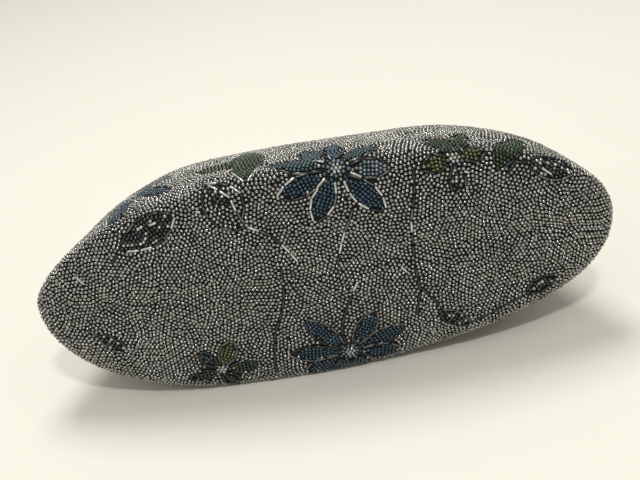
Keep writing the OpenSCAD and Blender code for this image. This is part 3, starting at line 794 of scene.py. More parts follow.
def bead_piece(name, form, middles, axes, normals, radii, lengths, material, rng):
    """Many copies of one turned form in one mesh. Each lies along its axis, stands on its normal and
    has its own radius, length, shade and tile of the bake map."""
    points, loops, sizes, tile = form
    count = len(middles)
    axes = unit(axes)
    across = unit(np.cross(normals, axes))
    up = np.cross(axes, across)
    spin = rng.random(count) * math.tau
    side = np.cos(spin)[:, None] * across + np.sin(spin)[:, None] * up
    rise = np.cross(axes, side)
    co = np.repeat(middles[:, None, :], len(points), 1)
    for k, (size, way) in enumerate(((lengths, axes), (radii, side), (radii, rise))):
        co = co + (points[:, k] * size[:, None])[..., None] * way[:, None, :]
    every = (loops[None, :] + np.arange(count)[:, None] * len(points)).ravel()
    piece = mesh_piece(name, co.reshape(-1, 3), every, np.tile(sizes, count), material)
    tiles = math.ceil(math.sqrt(count))
    corner = np.column_stack([np.arange(count) % tiles, np.arange(count) // tiles]) / tiles
    uv = corner[:, None, :] + tile[None] / tiles
    piece.data.uv_layers.new(name="OFBake").data.foreach_set("uv", uv.astype(np.float32).ravel())
    shade = np.repeat(rng.random(count), len(points))
    # the ends of each bead, where the shade in its bores is painted dark
    bore_shade_mask = np.tile((np.abs(points[:, 0]) > 0.44).astype(float), count)
    for label, values in (("bead_shade", shade), ("bead_bore_shade", bore_shade_mask)):
        attribute = piece.data.attributes.new(label, "FLOAT", "POINT")
        attribute.data.foreach_set("value", values.astype(np.float32))
    return piece


SEED_FORM = turned_form(((-0.5, 0.5), (-0.27, 0.98), (0.27, 0.98), (0.5, 0.5)), 6)
BUGLE_FORM = turned_form(((-0.5, 0.62), (-0.465, 1.0), (0.465, 1.0), (0.5, 0.62)), 8)


def cloth_grid(side, depth, pinch, columns=121, base=14, free=46, hem=12, sink=None):
    """One face of a cloth layer as a grid of points, from the keel seam to the hem in the channel.

    Rows go up the base's edge, then by even shares to the arms, then between the arms, and the last
    lies in the top bar. The outermost columns are the hem in the arms of the channel.
    """
    a = np.concatenate([[-1], np.linspace(-1, 1, columns - 2), [1]])
    q = np.sin(math.pi / 2 * a)[:, None]
    held_from = HEM_S - 1.6
    edge = TIP_RISE * q**2
    shares = np.linspace(0, 1, free + 1)[None, :]
    tops = HEM_S + (BAR_S - HEM_S) * np.sin(math.pi / 2 * np.linspace(0, 1, hem))[None, :]

    def face(depth, pinch):
        inner = edge + depth
        s = np.concatenate([np.repeat(inner, base, 1), inner + (held_from - inner) * shares], 1)
        s = np.concatenate([s, np.repeat(tops, columns, 0)], 1)
        w = np.ones(s.shape)
        w[:, :base] = np.sin(math.pi / 2 * np.arange(base) / base)
        return cloth_points(np.broadcast_to(q, s.shape), s, w, side, depth, pinch), s

    points, s = face(depth, pinch)
    outer, outer_s = face(0.0, RIM)
    fade = np.clip((BAR_S - FADE_RUN - outer_s) / FADE_RUN, 0, 1)
    valley = relief(outer[..., 0], side * arc_lengths(outer)) * fade
    if sink is not None:
        valley = valley + sink(outer[..., 0], s)
    points = points - grid_normals(outer, side) * valley[..., None]
    points[..., 2] = np.maximum(points[..., 2], depth)

    along = (tops[0] - HINGE_REACH) / math.cos(FRAME_TILT)
    past = np.clip(along - CORNER_ALONG, 0, MOUTH_R)
    wide = MOUTH_R + HEM
    straight = wide + MOUTH_HALF - MOUTH_R - CORNER_HALF
    reach = np.where(along < CORNER_ALONG, straight, np.sqrt(wide**2 - past**2))
    last = frame_points(q[:, 0] * CORNER_HALF, BAR_ALONG + HEM, side * pinch)
    tilt = math.radians(80)
    out, up = CORNER_HALF + wide * math.cos(tilt), CORNER_ALONG + wide * math.sin(tilt)
    for column, sign in ((0, -1), (-1, 1)):
        points[column, -hem:] = frame_points(sign * (CORNER_HALF + reach), along, side * pinch)
        last[column] = frame_points(sign * out, up, side * pinch)
    return np.concatenate([points, last[:, None]], 1)


def closed_shell(outer, inner):
    """Joins two faces of a cloth into one closed skin: both grids, and a strip along each border."""
    n, m = outer.shape[:2]
    number = np.arange(n * m).reshape(n, m)
    quads = grid_quads((n, m))
    below = quads[:, ::-1] + n * m
    rim = np.concatenate([number[:, 0], number[-1, 1:], number[-2::-1, -1], number[0, -2:0:-1]])
    ahead = np.roll(rim, -1)
    strip = np.stack([ahead, rim, rim + n * m, ahead + n * m], -1)
    points = np.concatenate([outer.reshape(-1, 3), inner.reshape(-1, 3)])
    return points, np.concatenate([quads, below, strip])


def tidy_shell(piece, merge=0.02):
    """Merges doubled points, in millimetres, and points all faces outwards."""
    work = bmesh.new()
    work.from_mesh(piece.data)
    bmesh.ops.remove_doubles(work, verts=work.verts, dist=merge * MM)
    bmesh.ops.dissolve_degenerate(work, edges=work.edges, dist=merge * MM * 0.5)
    bmesh.ops.recalc_face_normals(work, faces=work.faces)
    work.to_mesh(piece.data)
    work.free()
    return piece


def cloth_piece(name, side, layer, material, sink=None, **counts):
    """A closed cloth layer between its outer and its inner face."""
    outer = cloth_grid(side, *layer[0], sink=sink, **counts)
    inner = cloth_grid(side, *layer[1], sink=sink, **counts)
    return tidy_shell(quad_piece(name, *closed_shell(outer, inner), material))


def pleats(x, s):
    """Depth of the lining's gathers: folds across the bag that grow towards the frame and end in it."""
    fade = np.clip((s - 40) / 45, 0, 1) * np.clip((HEM_S + 22 - s) / 26, 0, 1)
    fold = 0.5 + 0.5 * np.sin(x * math.tau / 8.5 + 1.4 * np.sin(x / 13) + 0.5 * np.sin(s / 17))
    return 1.7 * fold * fade * np.clip((MOUTH_HALF + 8 - np.abs(x)) / 12, 0, 1)


def feed(tree, node, values):
    """Sets a node's inputs, by name or number: a socket is linked, and anything else is its value."""
    for label, value in values.items():
        if isinstance(value, bpy.types.NodeSocket):
            tree.links.new(value, node.inputs[label])
        else:
            node.inputs[label].default_value = value


def add(tree, kind, values=None, **settings):
    """Adds a shader node, with its settings and with values for its inputs."""
    node = tree.nodes.new("ShaderNode" + kind)
    for label, value in settings.items():
        setattr(node, label, value)
    feed(tree, node, values or {})
    return node


def on_object(tree):
    """The object coordinates."""
    return add(tree, "TexCoord").outputs["Object"]


def noise(tree, where, scale, detail, **values):
    """A noise's value at a place."""
    values = {"Vector": where, "Scale": scale, "Detail": detail, **values}
    return add(tree, "TexNoise", values).outputs["Fac"]


def calc(tree, operation, first, second, **settings):
    """The result of a sum, a product or the like."""
    return add(tree, "Math", {0: first, 1: second}, operation=operation, **settings).outputs[0]


def ranged(tree, value, low, high, to_low=0.0, to_high=1.0):
    """A value brought from one range to another."""
    values = {"Value": value, "From Min": low, "From Max": high, "To Min": to_low, "To Max": to_high}
    return add(tree, "MapRange", values).outputs[0]


def bump(tree, height, strength, distance):
    """The normal of a surface with a height."""
    return add(tree, "Bump", {"Height": height, "Strength": strength, "Distance": distance}).outputs[0]


def blend_colour(tree, factor, first, second):
    """Mixes two colours by a factor."""
    return add(tree, "Mix", {0: factor, 6: first, 7: second}, data_type="RGBA").outputs[2]


def rgb(colour, share=1.0):
    """A share of a colour, at most white, with its alpha."""
    return tuple(min(1.0, share * c) for c in colour) + (1.0,)


def new_group(name, inputs, outputs):
    """A shader node group with its named sockets: (name, kind, default) in, and (name, kind) out."""
    group = bpy.data.node_groups.new(name, "ShaderNodeTree")
    for label, kind, default in inputs:
        socket = group.interface.new_socket(label, in_out="INPUT", socket_type="NodeSocket" + kind)
        socket.default_value = default
    for label, kind in outputs:
        group.interface.new_socket(label, in_out="OUTPUT", socket_type="NodeSocket" + kind)
    return group, group.nodes.new("NodeGroupInput").outputs, group.nodes.new("NodeGroupOutput")


@functools.lru_cache(maxsize=None)
def bead_group():
    """Glass bead variation: each bead takes its own tone between two colours, darkens at both ends as
    painted shade of its bores, and wears a little duller where a soft noise says so."""
    group, given, out = new_group(
        "Glass bead variation",
        (
            ("Colour", "Color", (0.2, 0.2, 0.2, 1)),
            ("Second colour", "Color", (0.3, 0.3, 0.3, 1)),
            ("Bore shade colour", "Color", (0.005, 0.005, 0.005, 1)),
            ("Bore shade share", "Float", 0.8),
            ("Roughness", "Float", 0.2),
            ("Roughness spread", "Float", 0.15),
        ),
        (("Colour", "Color"), ("Roughness", "Float")),
    )
    shade = add(group, "Attribute", attribute_name="bead_shade").outputs["Fac"]
    bore_shade_mask = add(group, "Attribute", attribute_name="bead_bore_shade").outputs["Fac"]
    glass = blend_colour(group, shade, given["Colour"], given["Second colour"])
    # painted shade: the ends of each bead darken towards the bore colour
    dark = calc(group, "MULTIPLY", bore_shade_mask, given["Bore shade share"])
    spread = calc(group, "MULTIPLY", noise(group, on_object(group), 90.0, 3.0), given["Roughness spread"])
    feed(group, out, {
        "Colour": blend_colour(group, dark, glass, given["Bore shade colour"]),
        "Roughness": calc(group, "ADD", spread, given["Roughness"]),
    })
    return group


@functools.lru_cache(maxsize=None)
def weave_group():
    """Woven threads: two crossed sets of sine ridges on object coordinates, at a number of threads for
    each metre. It puts out the height and a mask of the gaps between the threads, where shade is painted."""
    group, given, out = new_group(
        "Woven threads",
        (("Threads", "Float", 1800.0), ("Unevenness", "Float", 0.6)),
        (("Height", "Float"), ("Gap shade", "Float")),
    )
    values = {
        "Vector": on_object(group), "Scale": given["Threads"], "Distortion": given["Unevenness"],
        "Detail": 1.0, "Detail Scale": 0.6,
    }
    ridges = [
        add(group, "TexWave", values, wave_type="BANDS", bands_direction=direction).outputs["Fac"]
        for direction in ("X", "Y")
    ]
    both = calc(group, "ADD", *ridges)
    feed(group, out, {
        "Height": calc(group, "MAXIMUM", *ridges),
        "Gap shade": calc(group, "SUBTRACT", 1.0, both, use_clamp=True),
    })
    return group


@functools.lru_cache(maxsize=None)
def wear_group():
    """Worn plating: fine scratches and soft rubbed patches on object coordinates, and bright edges
    found with the bevel normal. It puts out a wear mask, a scratch height and a dirt mask."""
    group, given, out = new_group(
        "Worn plating",
        (("Patch size", "Float", 60.0), ("Edge width", "Float", 0.0005), ("Amount", "Float", 0.5)),
        (("Wear", "Float"), ("Scratches", "Float"), ("Dirt", "Float")),
    )
    where = on_object(group)
    patch = noise(group, where, given["Patch size"], 5.0, Roughness=0.65)
    stretch = add(group, "Mapping", {"Vector": where, "Scale": (60.0, 900.0, 900.0)}).outputs[0]
    bevel = add(group, "Bevel", {"Radius": given["Edge width"]}, samples=4).outputs[0]
    flat = add(group, "NewGeometry").outputs["Normal"]
    same = add(group, "VectorMath", {0: bevel, 1: flat}, operation="DOT_PRODUCT").outputs["Value"]
    rubbed = calc(group, "MULTIPLY", ranged(group, patch, 0.5, 0.72), 0.5)
    most = calc(group, "MAXIMUM", ranged(group, same, 0.995, 0.9), rubbed)
    feed(group, out, {
        "Wear": calc(group, "MULTIPLY", most, given["Amount"]),
        "Scratches": noise(group, stretch, 1.0, 2.0),
        "Dirt": ranged(group, patch, 0.48, 0.3),
    })
    return group


def new_material(name):
    """A material, the tree to add to, and its shader."""
    material = bpy.data.materials.new(name)
    material.use_nodes = True
    return material, material.node_tree, material.node_tree.nodes["Principled BSDF"]


def glass_beads(name, colour, second, metallic, roughness, coat=0.0, bore_shade=0.8):
    """Material of one family of beads: polished glass or metal-coated glass, no two quite alike."""
    material, tree, shader = new_material(name)
    # how dark the ends of the beads are painted, as shade in their bores
    values = {
        "Colour": rgb(colour), "Second colour": rgb(second), "Bore shade share": bore_shade,
        "Roughness": roughness, "Roughness spread": 0.14,
    }
    group = add(tree, "Group", values, node_tree=bead_group())
    feed(tree, shader, {
        "Base Color": group.outputs["Colour"],
        "Roughness": group.outputs["Roughness"],
        "Metallic": metallic,
        "Coat Weight": coat,
        "Coat Roughness": 0.08,
    })
    return material


def woven_cloth(name, colour, second, threads, roughness, sheen, depth=0.25):
    """Material of a woven cloth: threads in the height, painted shade in the gaps between them, and a slow
    change of tone.
    """
    material, tree, shader = new_material(name)
    weave = add(tree, "Group", {"Threads": threads}, node_tree=weave_group())
    tone = noise(tree, on_object(tree), 35.0, 4.0)
    base = blend_colour(tree, tone, rgb(colour), rgb(second))
    feed(tree, shader, {
        # painted shade: the gaps between the threads darken to half the colour
        "Base Color": blend_colour(tree, weave.outputs["Gap shade"], base, rgb(colour, 0.5)),
        "Normal": bump(tree, weave.outputs["Height"], depth, 0.0002),
        "Roughness": roughness,
        "Sheen Weight": sheen,
        "Sheen Roughness": 0.35,
    })
    return material


def satin_cloth(name, colour, second):
    """Material of satin: long floats in one direction, which catch the light, and a fine cross weave."""
    material, tree, shader = new_material(name)
    where = on_object(tree)
    stretch = add(tree, "Mapping", {"Vector": where, "Scale": (3200.0, 160.0, 160.0)}).outputs[0]
    floats = noise(tree, stretch, 1.0, 2.0)
    base = blend_colour(tree, noise(tree, where, 22.0, 3.0), rgb(colour), rgb(second))
    lit = ranged(tree, floats, 0.3, 0.7, 0.0, 0.35)
    feed(tree, shader, {
        "Base Color": blend_colour(tree, lit, base, rgb(second, 1.35)),
        "Roughness": ranged(tree, floats, 0.0, 1.0, 0.28, 0.46),
        "Normal": bump(tree, floats, 0.25, 0.0001),
        "Sheen Weight": 0.3,
        "Anisotropic": 0.4,
    })
    return material


def gilt_metal(name, colour, worn, roughness, amount):
    """Material of gilt brass: plating rubbed pale at the edges, dull and darker in soft patches, finely
    scratched.
    """
    material, tree, shader = new_material(name)
    wear = add(tree, "Group", {"Amount": amount}, node_tree=wear_group()).outputs
    base = blend_colour(tree, wear["Wear"], rgb(colour), rgb(worn))
    feed(tree, shader, {
        "Base Color": blend_colour(tree, wear["Dirt"], base, rgb(colour, 0.45)),
        "Roughness": ranged(tree, wear["Dirt"], 0.0, 1.0, roughness, roughness + 0.22),
        "Normal": bump(tree, wear["Scratches"], 0.12, 0.0001),
        "Metallic": 1.0,
    })
    return material


def paper_cord(name, colour, second):
    """Material of twisted paper cord: slanting plies in the height and painted shade in the lines between
    them.
    """
    material, tree, shader = new_material(name)
    where = on_object(tree)
    twist = add(tree, "Mapping", {"Vector": where, "Rotation": (0.6, 0.5, 0.7)}).outputs[0]
    values = {"Vector": twist, "Scale": 260.0, "Distortion": 1.5, "Detail": 2.0}
    plies = add(tree, "TexWave", values, wave_type="BANDS").outputs["Fac"]
    base = blend_colour(tree, noise(tree, where, 900.0, 3.0), rgb(colour), rgb(second))
    feed(tree, shader, {
        # painted shade: the grooves between the plies darken to about half the colour
        "Base Color": blend_colour(tree, plies, rgb(colour, 0.55), base),
        "Normal": bump(tree, plies, 0.5, 0.0003),
        "Roughness": 0.8,
    })
    return material


def dress(material, *names):
    """Gives CAD nodes their material."""
    for name in names:
        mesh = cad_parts[name].data
        mesh.materials.clear()
        mesh.materials.append(material)


def attach(piece, side, slot, *replaced):
    """The back goes with the bag, and the front has its transform baked into its points."""
    if side == BACK:
        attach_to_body(piece, "bag")
    else:
        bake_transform(piece)
    if replaced:
        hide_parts(*replaced)


def cloth_pair(name, part, slot, layer, material, sink=None, **counts):
    """One layer of cloth on both sides, each in place of its own solids."""
    for side, word in SIDES:
        piece = cloth_piece(f"{word}_{name}", side, layer, material, sink, **counts)
        lengths = ("_lower", "_fold", "_upper") if side == FRONT else ("",)
        attach(piece, side, slot, *(f"{word}_{part}{length}" for length in lengths))


def length_of(name, description, millimetres):
    """A length that the user may change."""
    return FloatProperty(
        name=name, description=description, default=millimetres * MM, unit="LENGTH", precision=5
    )


def colour_of(name, description, colour):
    """A colour that the user may change."""
    return FloatVectorProperty(name=name, description=description, default=colour, subtype="COLOR")


def share_of(name, description, share, most=1.0):
    """A share that the user may change."""
    return FloatProperty(name=name, description=description, default=share, min=0, max=most, subtype="FACTOR")


class PurseBeads(bpy.types.PropertyGroup):
    """Sizes and colours of the beads"""

    seed_radius: length_of("Seed bead radius", "Outer radius of a seed bead", BEAD_R)
    seed_length: length_of("Seed bead length", "Length of a seed bead along its bore", 1.3)
    bugle_radius: length_of("Bugle radius", "Outer radius of a bugle bead", 0.5)
    uneven: share_of("Unevenness", "How much the beads differ in size", 0.07, 0.3)
    ground: colour_of("Ground", "Colour of the gunmetal beads", (0.40, 0.40, 0.375))


class PurseCloth(bpy.types.PropertyGroup):
    """Colours of the cloths"""

    # near black: the dark between the beads is partly this cloth's colour and partly painted shade
    backing: colour_of("Backing", "Cloth under the beads", (0.012, 0.012, 0.014))
    lining: colour_of("Lining", "Satin inside the bag", (0.42, 0.40, 0.36))
    felt: colour_of("Interlining", "Felted cotton between the two", (0.78, 0.75, 0.68))


class PurseMetal(bpy.types.PropertyGroup):
    """Colours and wear of the fittings"""

    gilt: colour_of("Gilt", "Colour of the gilt plating", (0.8, 0.6, 0.28))
    hinge: colour_of("Hinge metal", "Colour of the rivets and washers", (0.66, 0.5, 0.26))
    wear: share_of("Wear", "How far the plating is rubbed", 0.7)


class PurseStage(bpy.types.PropertyGroup):
    """Floor, light and camera"""

    floor: colour_of("Floor", "Colour of the floor", (0.93, 0.905, 0.81))
    fill: FloatProperty(
        name="Fill light", description="Strength of the light all round", default=0.4, min=0, subtype="FACTOR"
    )
    lamp: FloatProperty(
        name="Lamp", description="Power of the soft key lamp", default=7.0, min=0, unit="POWER"
    )
    lens: FloatProperty(
        name="Lens", description="Focal length of the camera in millimetres", default=62.5, min=1,
        subtype="DISTANCE_CAMERA",
    )


def settings(kind):
    """The settings of one kind on the scene."""
    return getattr(bpy.context.scene, "purse_" + kind)


# lamps: name, share of the key lamp's power, width, place, aim and colour
LAMPS = (
    ("key_lamp", 1.0, 0.5, (-0.06, 0.32, 1.12), (0, 0, 0.02), (1.0, 0.99, 0.95)),
    ("side_lamp", 0.10, 0.4, (-1.1, -0.5, 0.8), (0, 0, 0.02), (1.0, 0.99, 0.97)),
    ("glint_lamp", 0.42, 0.10, (0.10, -0.64, 0.90), (0, 0, 0.04), (1.0, 0.99, 0.97)),
)
# the camera's bearing, height and roll in degrees, its distance from its aim, and the aim
CAMERA_TURNS = (2.2, 27.9, -10.2)
CAMERA_FAR = 0.480
CAMERA_AIM = (-0.00014, -0.030, 0.0452)
# half the floor's width, where it begins to rise behind the bag, and how fast, in millimetres
FLOOR_HALF = 3200
FLOOR_RISE_FROM = 1500
FLOOR_RISE = 0.00035


def set_up(name, data, right, back, spot):
    """Puts a lamp or the camera at its spot, looking against back, with its right side given."""
    holder = bpy.data.objects.new(name, data)
    bpy.context.scene.collection.objects.link(holder)
    turn = Matrix([list(right), list(np.cross(back, right)), list(back)]).transposed().to_4x4()
    turn.translation = spot
    holder.matrix_world = turn
    return holder


class PURSE_OT_stage(bpy.types.Operator):
    """Makes the floor, the lights and the camera"""

    bl_idname = "purse.stage"
    bl_label = "Stage"

    def execute(self, context):
        wanted = settings("stage")
        scene = context.scene
        scene.view_settings.view_transform = "Standard"
        side = FLOOR_HALF * np.linspace(-1, 1, 61)
        x, y = np.meshgrid(side, side, indexing="ij")
        rise = FLOOR_RISE * np.maximum(0, y - FLOOR_RISE_FROM) ** 2
        material, tree, shader = new_material("floor_paper")
        tone = noise(tree, on_object(tree), 6.0, 3.0)
        feed(tree, shader, {
            "Base Color": blend_colour(tree, tone, rgb(wanted.floor), rgb(wanted.floor, 0.985)),
            "Roughness": 0.85,
        })
        points = np.stack([x, y, rise], -1).reshape(-1, 3)
        floor = quad_piece("floor", points, grid_quads(x.shape), material)

        world = bpy.data.worlds.new("soft_sky")
        world.use_nodes = True
        sky = world.node_tree.nodes["Background"]
        feed(world.node_tree, sky, {"Color": (1.0, 0.985, 0.94, 1), "Strength": wanted.fill})
        scene.world = world

        for name, share, size, spot, aim, colour in LAMPS:
            light = bpy.data.lights.new(name, "AREA")
            light.shape = "DISK"
            light.energy, light.size, light.color = share * wanted.lamp, size, colour
            back = unit(np.array(spot, float) - np.array(aim, float))
            set_up(name, light, unit(np.cross([0, 1, 0.001], back)), back, spot)

        camera = bpy.data.cameras.new("camera")
        camera.lens = wanted.lens
        camera.sensor_width = 36
        camera.clip_start = 0.01
        az, el, roll = (math.radians(turn) for turn in CAMERA_TURNS)
        back = np.array([math.sin(az) * math.cos(el), -math.cos(az) * math.cos(el), math.sin(el)])
        right = unit(np.cross(-back, [0, 0, 1]))
        right = math.cos(roll) * right + math.sin(roll) * np.cross(right, -back)
        scene.camera = set_up("camera", camera, right, back, np.array(CAMERA_AIM) + CAMERA_FAR * back)
        return {"FINISHED"}


class PURSE_OT_fittings(bpy.types.Operator):
    """Finishes the frame, the kiss lock, the hinges and the packing cords of the model"""

    bl_idname = "purse.fittings"
    bl_label = "Fittings"

    def execute(self, context):
        wanted = settings("metal")
        pale = (0.9, 0.8, 0.56)
        looks = (
            ("gilt_brass", wanted.gilt, pale, 0.16, "back_frame", "front_frame"),
            ("gilt_clasp", wanted.gilt, pale, 0.1, "back_clasp_stem", "back_clasp_ball", "front_clasp_stem",
             "front_clasp_ball"),
            ("hinge_brass", wanted.hinge, (0.8, 0.72, 0.5), 0.26, "hinge_rivet_left", "hinge_rivet_right",
             "hinge_washer_left", "hinge_washer_right"),
        )
        for name, colour, worn, roughness, *nodes in looks:
            dress(gilt_metal(name, colour, worn, roughness, wanted.wear), *nodes)
        cord = paper_cord("twisted_paper", (0.66, 0.55, 0.38), (0.8, 0.7, 0.52))
        dress(cord, "back_packing_cord", "front_packing_cord")
        return {"FINISHED"}


class PURSE_OT_backing(bpy.types.Operator):
    """Makes the dark cloth that the beads are sewn on, for both panels"""

    bl_idname = "purse.backing"
    bl_label = "Backing cloth"

    def execute(self, context):
        colour = settings("cloth").backing
        # the backing's near-black colour is partly painted shade between the beads
        cloth = woven_cloth("beading_cloth", colour, [1.6 * c for c in colour], 2200.0, 0.85, 0.2)
        cloth_pair("beading_cloth", "panel", "beaded_cloth", BACKING, cloth)
        return {"FINISHED"}


class PURSE_OT_interlining(bpy.types.Operator):
    """Makes the felted interlining of both panels"""

    bl_idname = "purse.interlining"
    bl_label = "Interlining"

    def execute(self, context):
        colour = settings("cloth").felt
        felt = woven_cloth("felted_cotton", colour, [0.9 * c for c in colour], 900.0, 0.95, 0.4, 0.15)
        counts = {"columns": 81, "free": 30, "base": 10}
        cloth_pair("felt_interlining", "interlining", "interlining", INTERLINING, felt, **counts)
        return {"FINISHED"}


# slip pocket: half its width, its start from the base, its length, and where its hem is doubled
POCKET_HALF = 45
POCKET_FROM = 20
POCKET_LONG = 52
POCKET_HEM = 62
# the row and the columns of the pocket's grid that are stitched, and the size of a stitch
STITCHED_ROW = 42
STITCHED_COLUMNS = [3, 87]
STITCH_R = 0.16
STITCH_LENGTH = 0.72
STITCH_LIFT = 0.05


class PURSE_OT_lining(bpy.types.Operator):
    """Makes the gathered satin lining of both panels, and the slip pocket with its hem and stitches"""

    bl_idname = "purse.lining"
    bl_label = "Lining and pocket"

    def execute(self, context):
        wanted = settings("cloth")
        satin = satin_cloth("lining_satin", wanted.lining, [1.15 * c for c in wanted.lining])
        counts = {"columns": 241, "free": 60, "base": 10}
        cloth_pair("satin_lining", "lining", "satin_lining", LINING, satin, pleats, **counts)

        share = np.linspace(0, 1, 53)
        u, s = np.meshgrid(np.linspace(-1, 1, 91), POCKET_FROM + POCKET_LONG * share, indexing="ij")
        beside = (1 - np.abs(u)) * POCKET_HALF
        hem = 0.35 * np.clip((s - POCKET_HEM) / 0.8, 0, 1) + 0.25 * np.clip(1 - beside / 2.5, 0, 1)
        gape = 1.75 * np.clip((s - 40) / 32, 0, 1)
        bag = 0.8 * np.sin(math.pi * (u + 1) / 2) * np.clip((s - 40) / 30, 0, 1)
        outer = cloth_points(u * POCKET_HALF / HALF_W, s, np.ones(s.shape), BACK, 0.0, RIM)
        over = relief(outer[..., 0], -(s + 20)) + gape + bag
        faces = []
        for (depth, pinch), thick in zip(POCKET, (0.0, 1.0)):
            here = cloth_points(u * POCKET_HALF / HALF_W, s, np.ones(s.shape), BACK, depth, pinch)
            here = here - grid_normals(outer, BACK) * (over + hem * thick)[..., None]
            here[..., 2] = np.maximum(here[..., 2], depth)
            faces.append(here)
        pocket = tidy_shell(quad_piece("slip_pocket", *closed_shell(*faces), satin))
        attach(pocket, BACK, "satin_lining", "lining_pocket")

        def stitched(by_hem, by_sides):
            """Values where the stitches are: along the hem, and then up both sides."""
            sides = by_sides[STITCHED_COLUMNS, 1:STITCHED_ROW].swapaxes(0, 1)
            return np.concatenate([by_hem[1:-1, STITCHED_ROW], sides.reshape(-1, 3)])

        top = faces[1]
        up = grid_normals(top, FRONT)
        across, along = (np.roll(top, -1, axis) - np.roll(top, 1, axis) for axis in (0, 1))
        middles, axes, normals = stitched(top, top), stitched(across, along), stitched(up, up)
        pale = [0.8 * c for c in wanted.lining]
        thread = woven_cloth("sewing_thread", pale, wanted.lining, 5000.0, 0.6, 0.2)
        form = turned_form(((-0.5, 0.25), (-0.4, 1.0), (0.4, 1.0), (0.5, 0.25)), 6)
        radii, lengths = (np.full(len(middles), size) for size in (STITCH_R, STITCH_LENGTH))
        stitches = bead_piece(
            "pocket_stitches", form, middles + STITCH_LIFT * normals, axes, normals, radii, lengths,
            thread, np.random.default_rng(SEED),
        )
        attach(stitches, BACK, "satin_lining")
        return {"FINISHED"}


# glass of the bead families, and of the bugles in the order of their letters: name, the two colours,
# metallic, roughness, coat, and how dark the ends are painted, a painted shade of the bores
GLASS = (
    (NAVY, "navy_glass", (0.022, 0.050, 0.078), (0.045, 0.10, 0.15), 0.45, 0.09, 0.6),
    (TEAL, "teal_glass", (0.03, 0.07, 0.075), (0.055, 0.12, 0.125), 0.35, 0.15, 0.6),
    (SLATE, "slate_blue_glass", (0.12, 0.165, 0.195), (0.24, 0.30, 0.34), 0.5, 0.16, 0.5),
    (GREEN, "leaf_green_glass", (0.022, 0.042, 0.018), (0.042, 0.075, 0.032), 0.15, 0.16, 0.3),
    (OLIVE, "olive_glass", (0.075, 0.09, 0.032), (0.15, 0.17, 0.065), 0.35, 0.16, 0.5),
    (JET, "jet_glass", (0.008, 0.008, 0.009), (0.02, 0.02, 0.022), 0.1, 0.06, 1.0),
    (PALE, "pale_glass", (0.40, 0.40, 0.36), (0.62, 0.62, 0.58), 0.6, 0.14, 0.5, 0.5),
)
# three copies of one bugle in painted light: dark is painted shade, grey half light, bright a painted
# highlight
BUGLE_GLASS = (
    ("dark", "black_bugle", (0.015, 0.015, 0.016), (0.05, 0.05, 0.05), 0.5, 0.12, 0.7, 0.5),
    ("grey", "gunmetal_bugle", (0.20, 0.20, 0.19), (0.34, 0.34, 0.32), 0.8, 0.16, 0.3, 0.5),
    ("bright", "silver_lined_bugle", (0.88, 0.88, 0.85), (0.97, 0.97, 0.95), 0.6, 0.2, 0.5, 0.3),
)


def seed_sizes(count, rng):
    """Radii and lengths of that many seed beads, in millimetres, a little uneven."""
    wanted = settings("beads")
    size = 1 + wanted.uneven * rng.standard_normal(count).clip(-2, 2)
    return wanted.seed_radius / MM * size, wanted.seed_length / MM * size


class PURSE_OT_ornament(bpy.types.Operator):
    """Sews on the flowers, leaves and stems of coloured beads and bugles"""

    bl_idname = "purse.ornament"
    bl_label = "Bead flowers and leaves"

    def execute(self, context):
        rng = np.random.default_rng(SEED + 1)
        glass = {family: glass_beads(*look) for family, *look in GLASS}
        (sides, spot, axis, normal, family), tube, _ = lay_beads()
        for side, word in SIDES:
            for number, material in glass.items():
                mine = (sides == side) & (family == number)
                if not mine.any():
                    continue
                name = f"{word}_{FAMILIES[number]}_beads"
                radii, lengths = seed_sizes(mine.sum(), rng)
                piece = bead_piece(
                    name, SEED_FORM, spot[mine], axis[mine], normal[mine], radii, lengths, material, rng
                )
                attach(piece, side, "beaded_cloth")
        sides, middle, axis, up, tones = tube
        # the bugles' tones are painted light: shaded, half lit and highlit copies of one bugle
        glass = {tone: glass_beads(*look) for tone, *look in BUGLE_GLASS}
        for side, word in SIDES:
            for number, (tone, material) in enumerate(glass.items()):
                mine = (sides == side) & (tones == number)
                radii = np.full(mine.sum(), settings("beads").bugle_radius / MM)
                lengths = np.linalg.norm(axis[mine], axis=1)
                piece = bead_piece(
                    f"{word}_{tone}_bugles", BUGLE_FORM, middle[mine] + BUGLE_LIFT * up[mine], axis[mine],
                    up[mine], radii, lengths, material, rng,
                )
                attach(piece, side, "beaded_cloth")
        return {"FINISHED"}


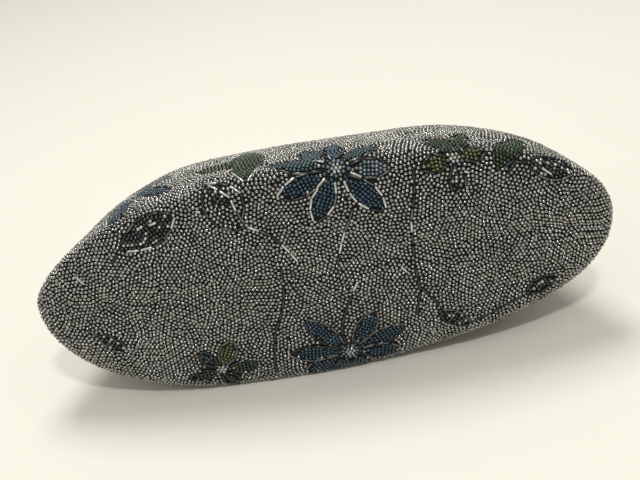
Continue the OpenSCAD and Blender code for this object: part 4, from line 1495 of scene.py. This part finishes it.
class PURSE_OT_ground(bpy.types.Operator):
    """Fills the cloth round the ornament with gunmetal seed beads"""

    bl_idname = "purse.ground"
    bl_label = "Ground beads"

    def execute(self, context):
        rng = np.random.default_rng(SEED + 2)
        dark, light = ([share * c for c in settings("beads").ground] for share in (0.75, 1.3))
        material = glass_beads("gunmetal_beads", dark, light, 0.85, 0.11, 0.0)
        sides, spot, strung, up = lay_beads()[2]
        for side, word in SIDES:
            own = np.flatnonzero(sides == side)
            own = own[np.argsort(spot[own, 0], kind="stable")]
            for number, mine in enumerate(np.array_split(own, math.ceil(len(own) / MOST_BEADS)), 1):
                radii, lengths = seed_sizes(len(mine), rng)
                lift = BEAD_LIFT * rng.standard_normal(len(mine)).clip(-2, 2)
                lean = strung[mine] + BEAD_LEAN * rng.standard_normal((len(mine), 3))
                lean -= (lean * up[mine]).sum(1, keepdims=True) * up[mine] * 0.7
                piece = bead_piece(
                    f"{word}_ground_beads_{number}", SEED_FORM, spot[mine] + lift[:, None] * up[mine],
                    lean, up[mine], radii, lengths, material, rng,
                )
                attach(piece, side, "beaded_cloth")
        return {"FINISHED"}


class PURSE_PT_panel(bpy.types.Panel):
    """Lists the purse's sizes, colours and steps"""

    bl_idname = "PURSE_PT_panel"
    bl_label = "Kiss lock frame purse"
    bl_space_type = "VIEW_3D"
    bl_region_type = "UI"
    bl_category = "Purse"

    def draw(self, context):
        for kind, group in SETTINGS:
            box = self.layout.box()
            box.label(text=group.__doc__)
            for label in group.__annotations__:
                box.prop(settings(kind), label)
        for step in STEPS:
            self.layout.operator(step.bl_idname)


SETTINGS = (("beads", PurseBeads), ("cloth", PurseCloth), ("metal", PurseMetal), ("stage", PurseStage))
STEPS = (
    PURSE_OT_stage, PURSE_OT_fittings, PURSE_OT_backing, PURSE_OT_interlining, PURSE_OT_lining,
    PURSE_OT_ornament, PURSE_OT_ground,
)


def register():
    for kind, group in SETTINGS:
        bpy.utils.register_class(group)
        setattr(bpy.types.Scene, "purse_" + kind, PointerProperty(type=group))
    for step in STEPS + (PURSE_PT_panel,):
        bpy.utils.register_class(step)


def unregister():
    for step in (PURSE_PT_panel,) + STEPS[::-1]:
        bpy.utils.unregister_class(step)
    for kind, group in SETTINGS[::-1]:
        delattr(bpy.types.Scene, "purse_" + kind)
        bpy.utils.unregister_class(group)


def main():
    register()
    bpy.ops.purse.stage()
    bpy.ops.purse.fittings()
    bpy.ops.purse.backing()
    bpy.ops.purse.interlining()
    bpy.ops.purse.lining()
    bpy.ops.purse.ornament()
    bpy.ops.purse.ground()


if __name__ == "__main__":
    main()
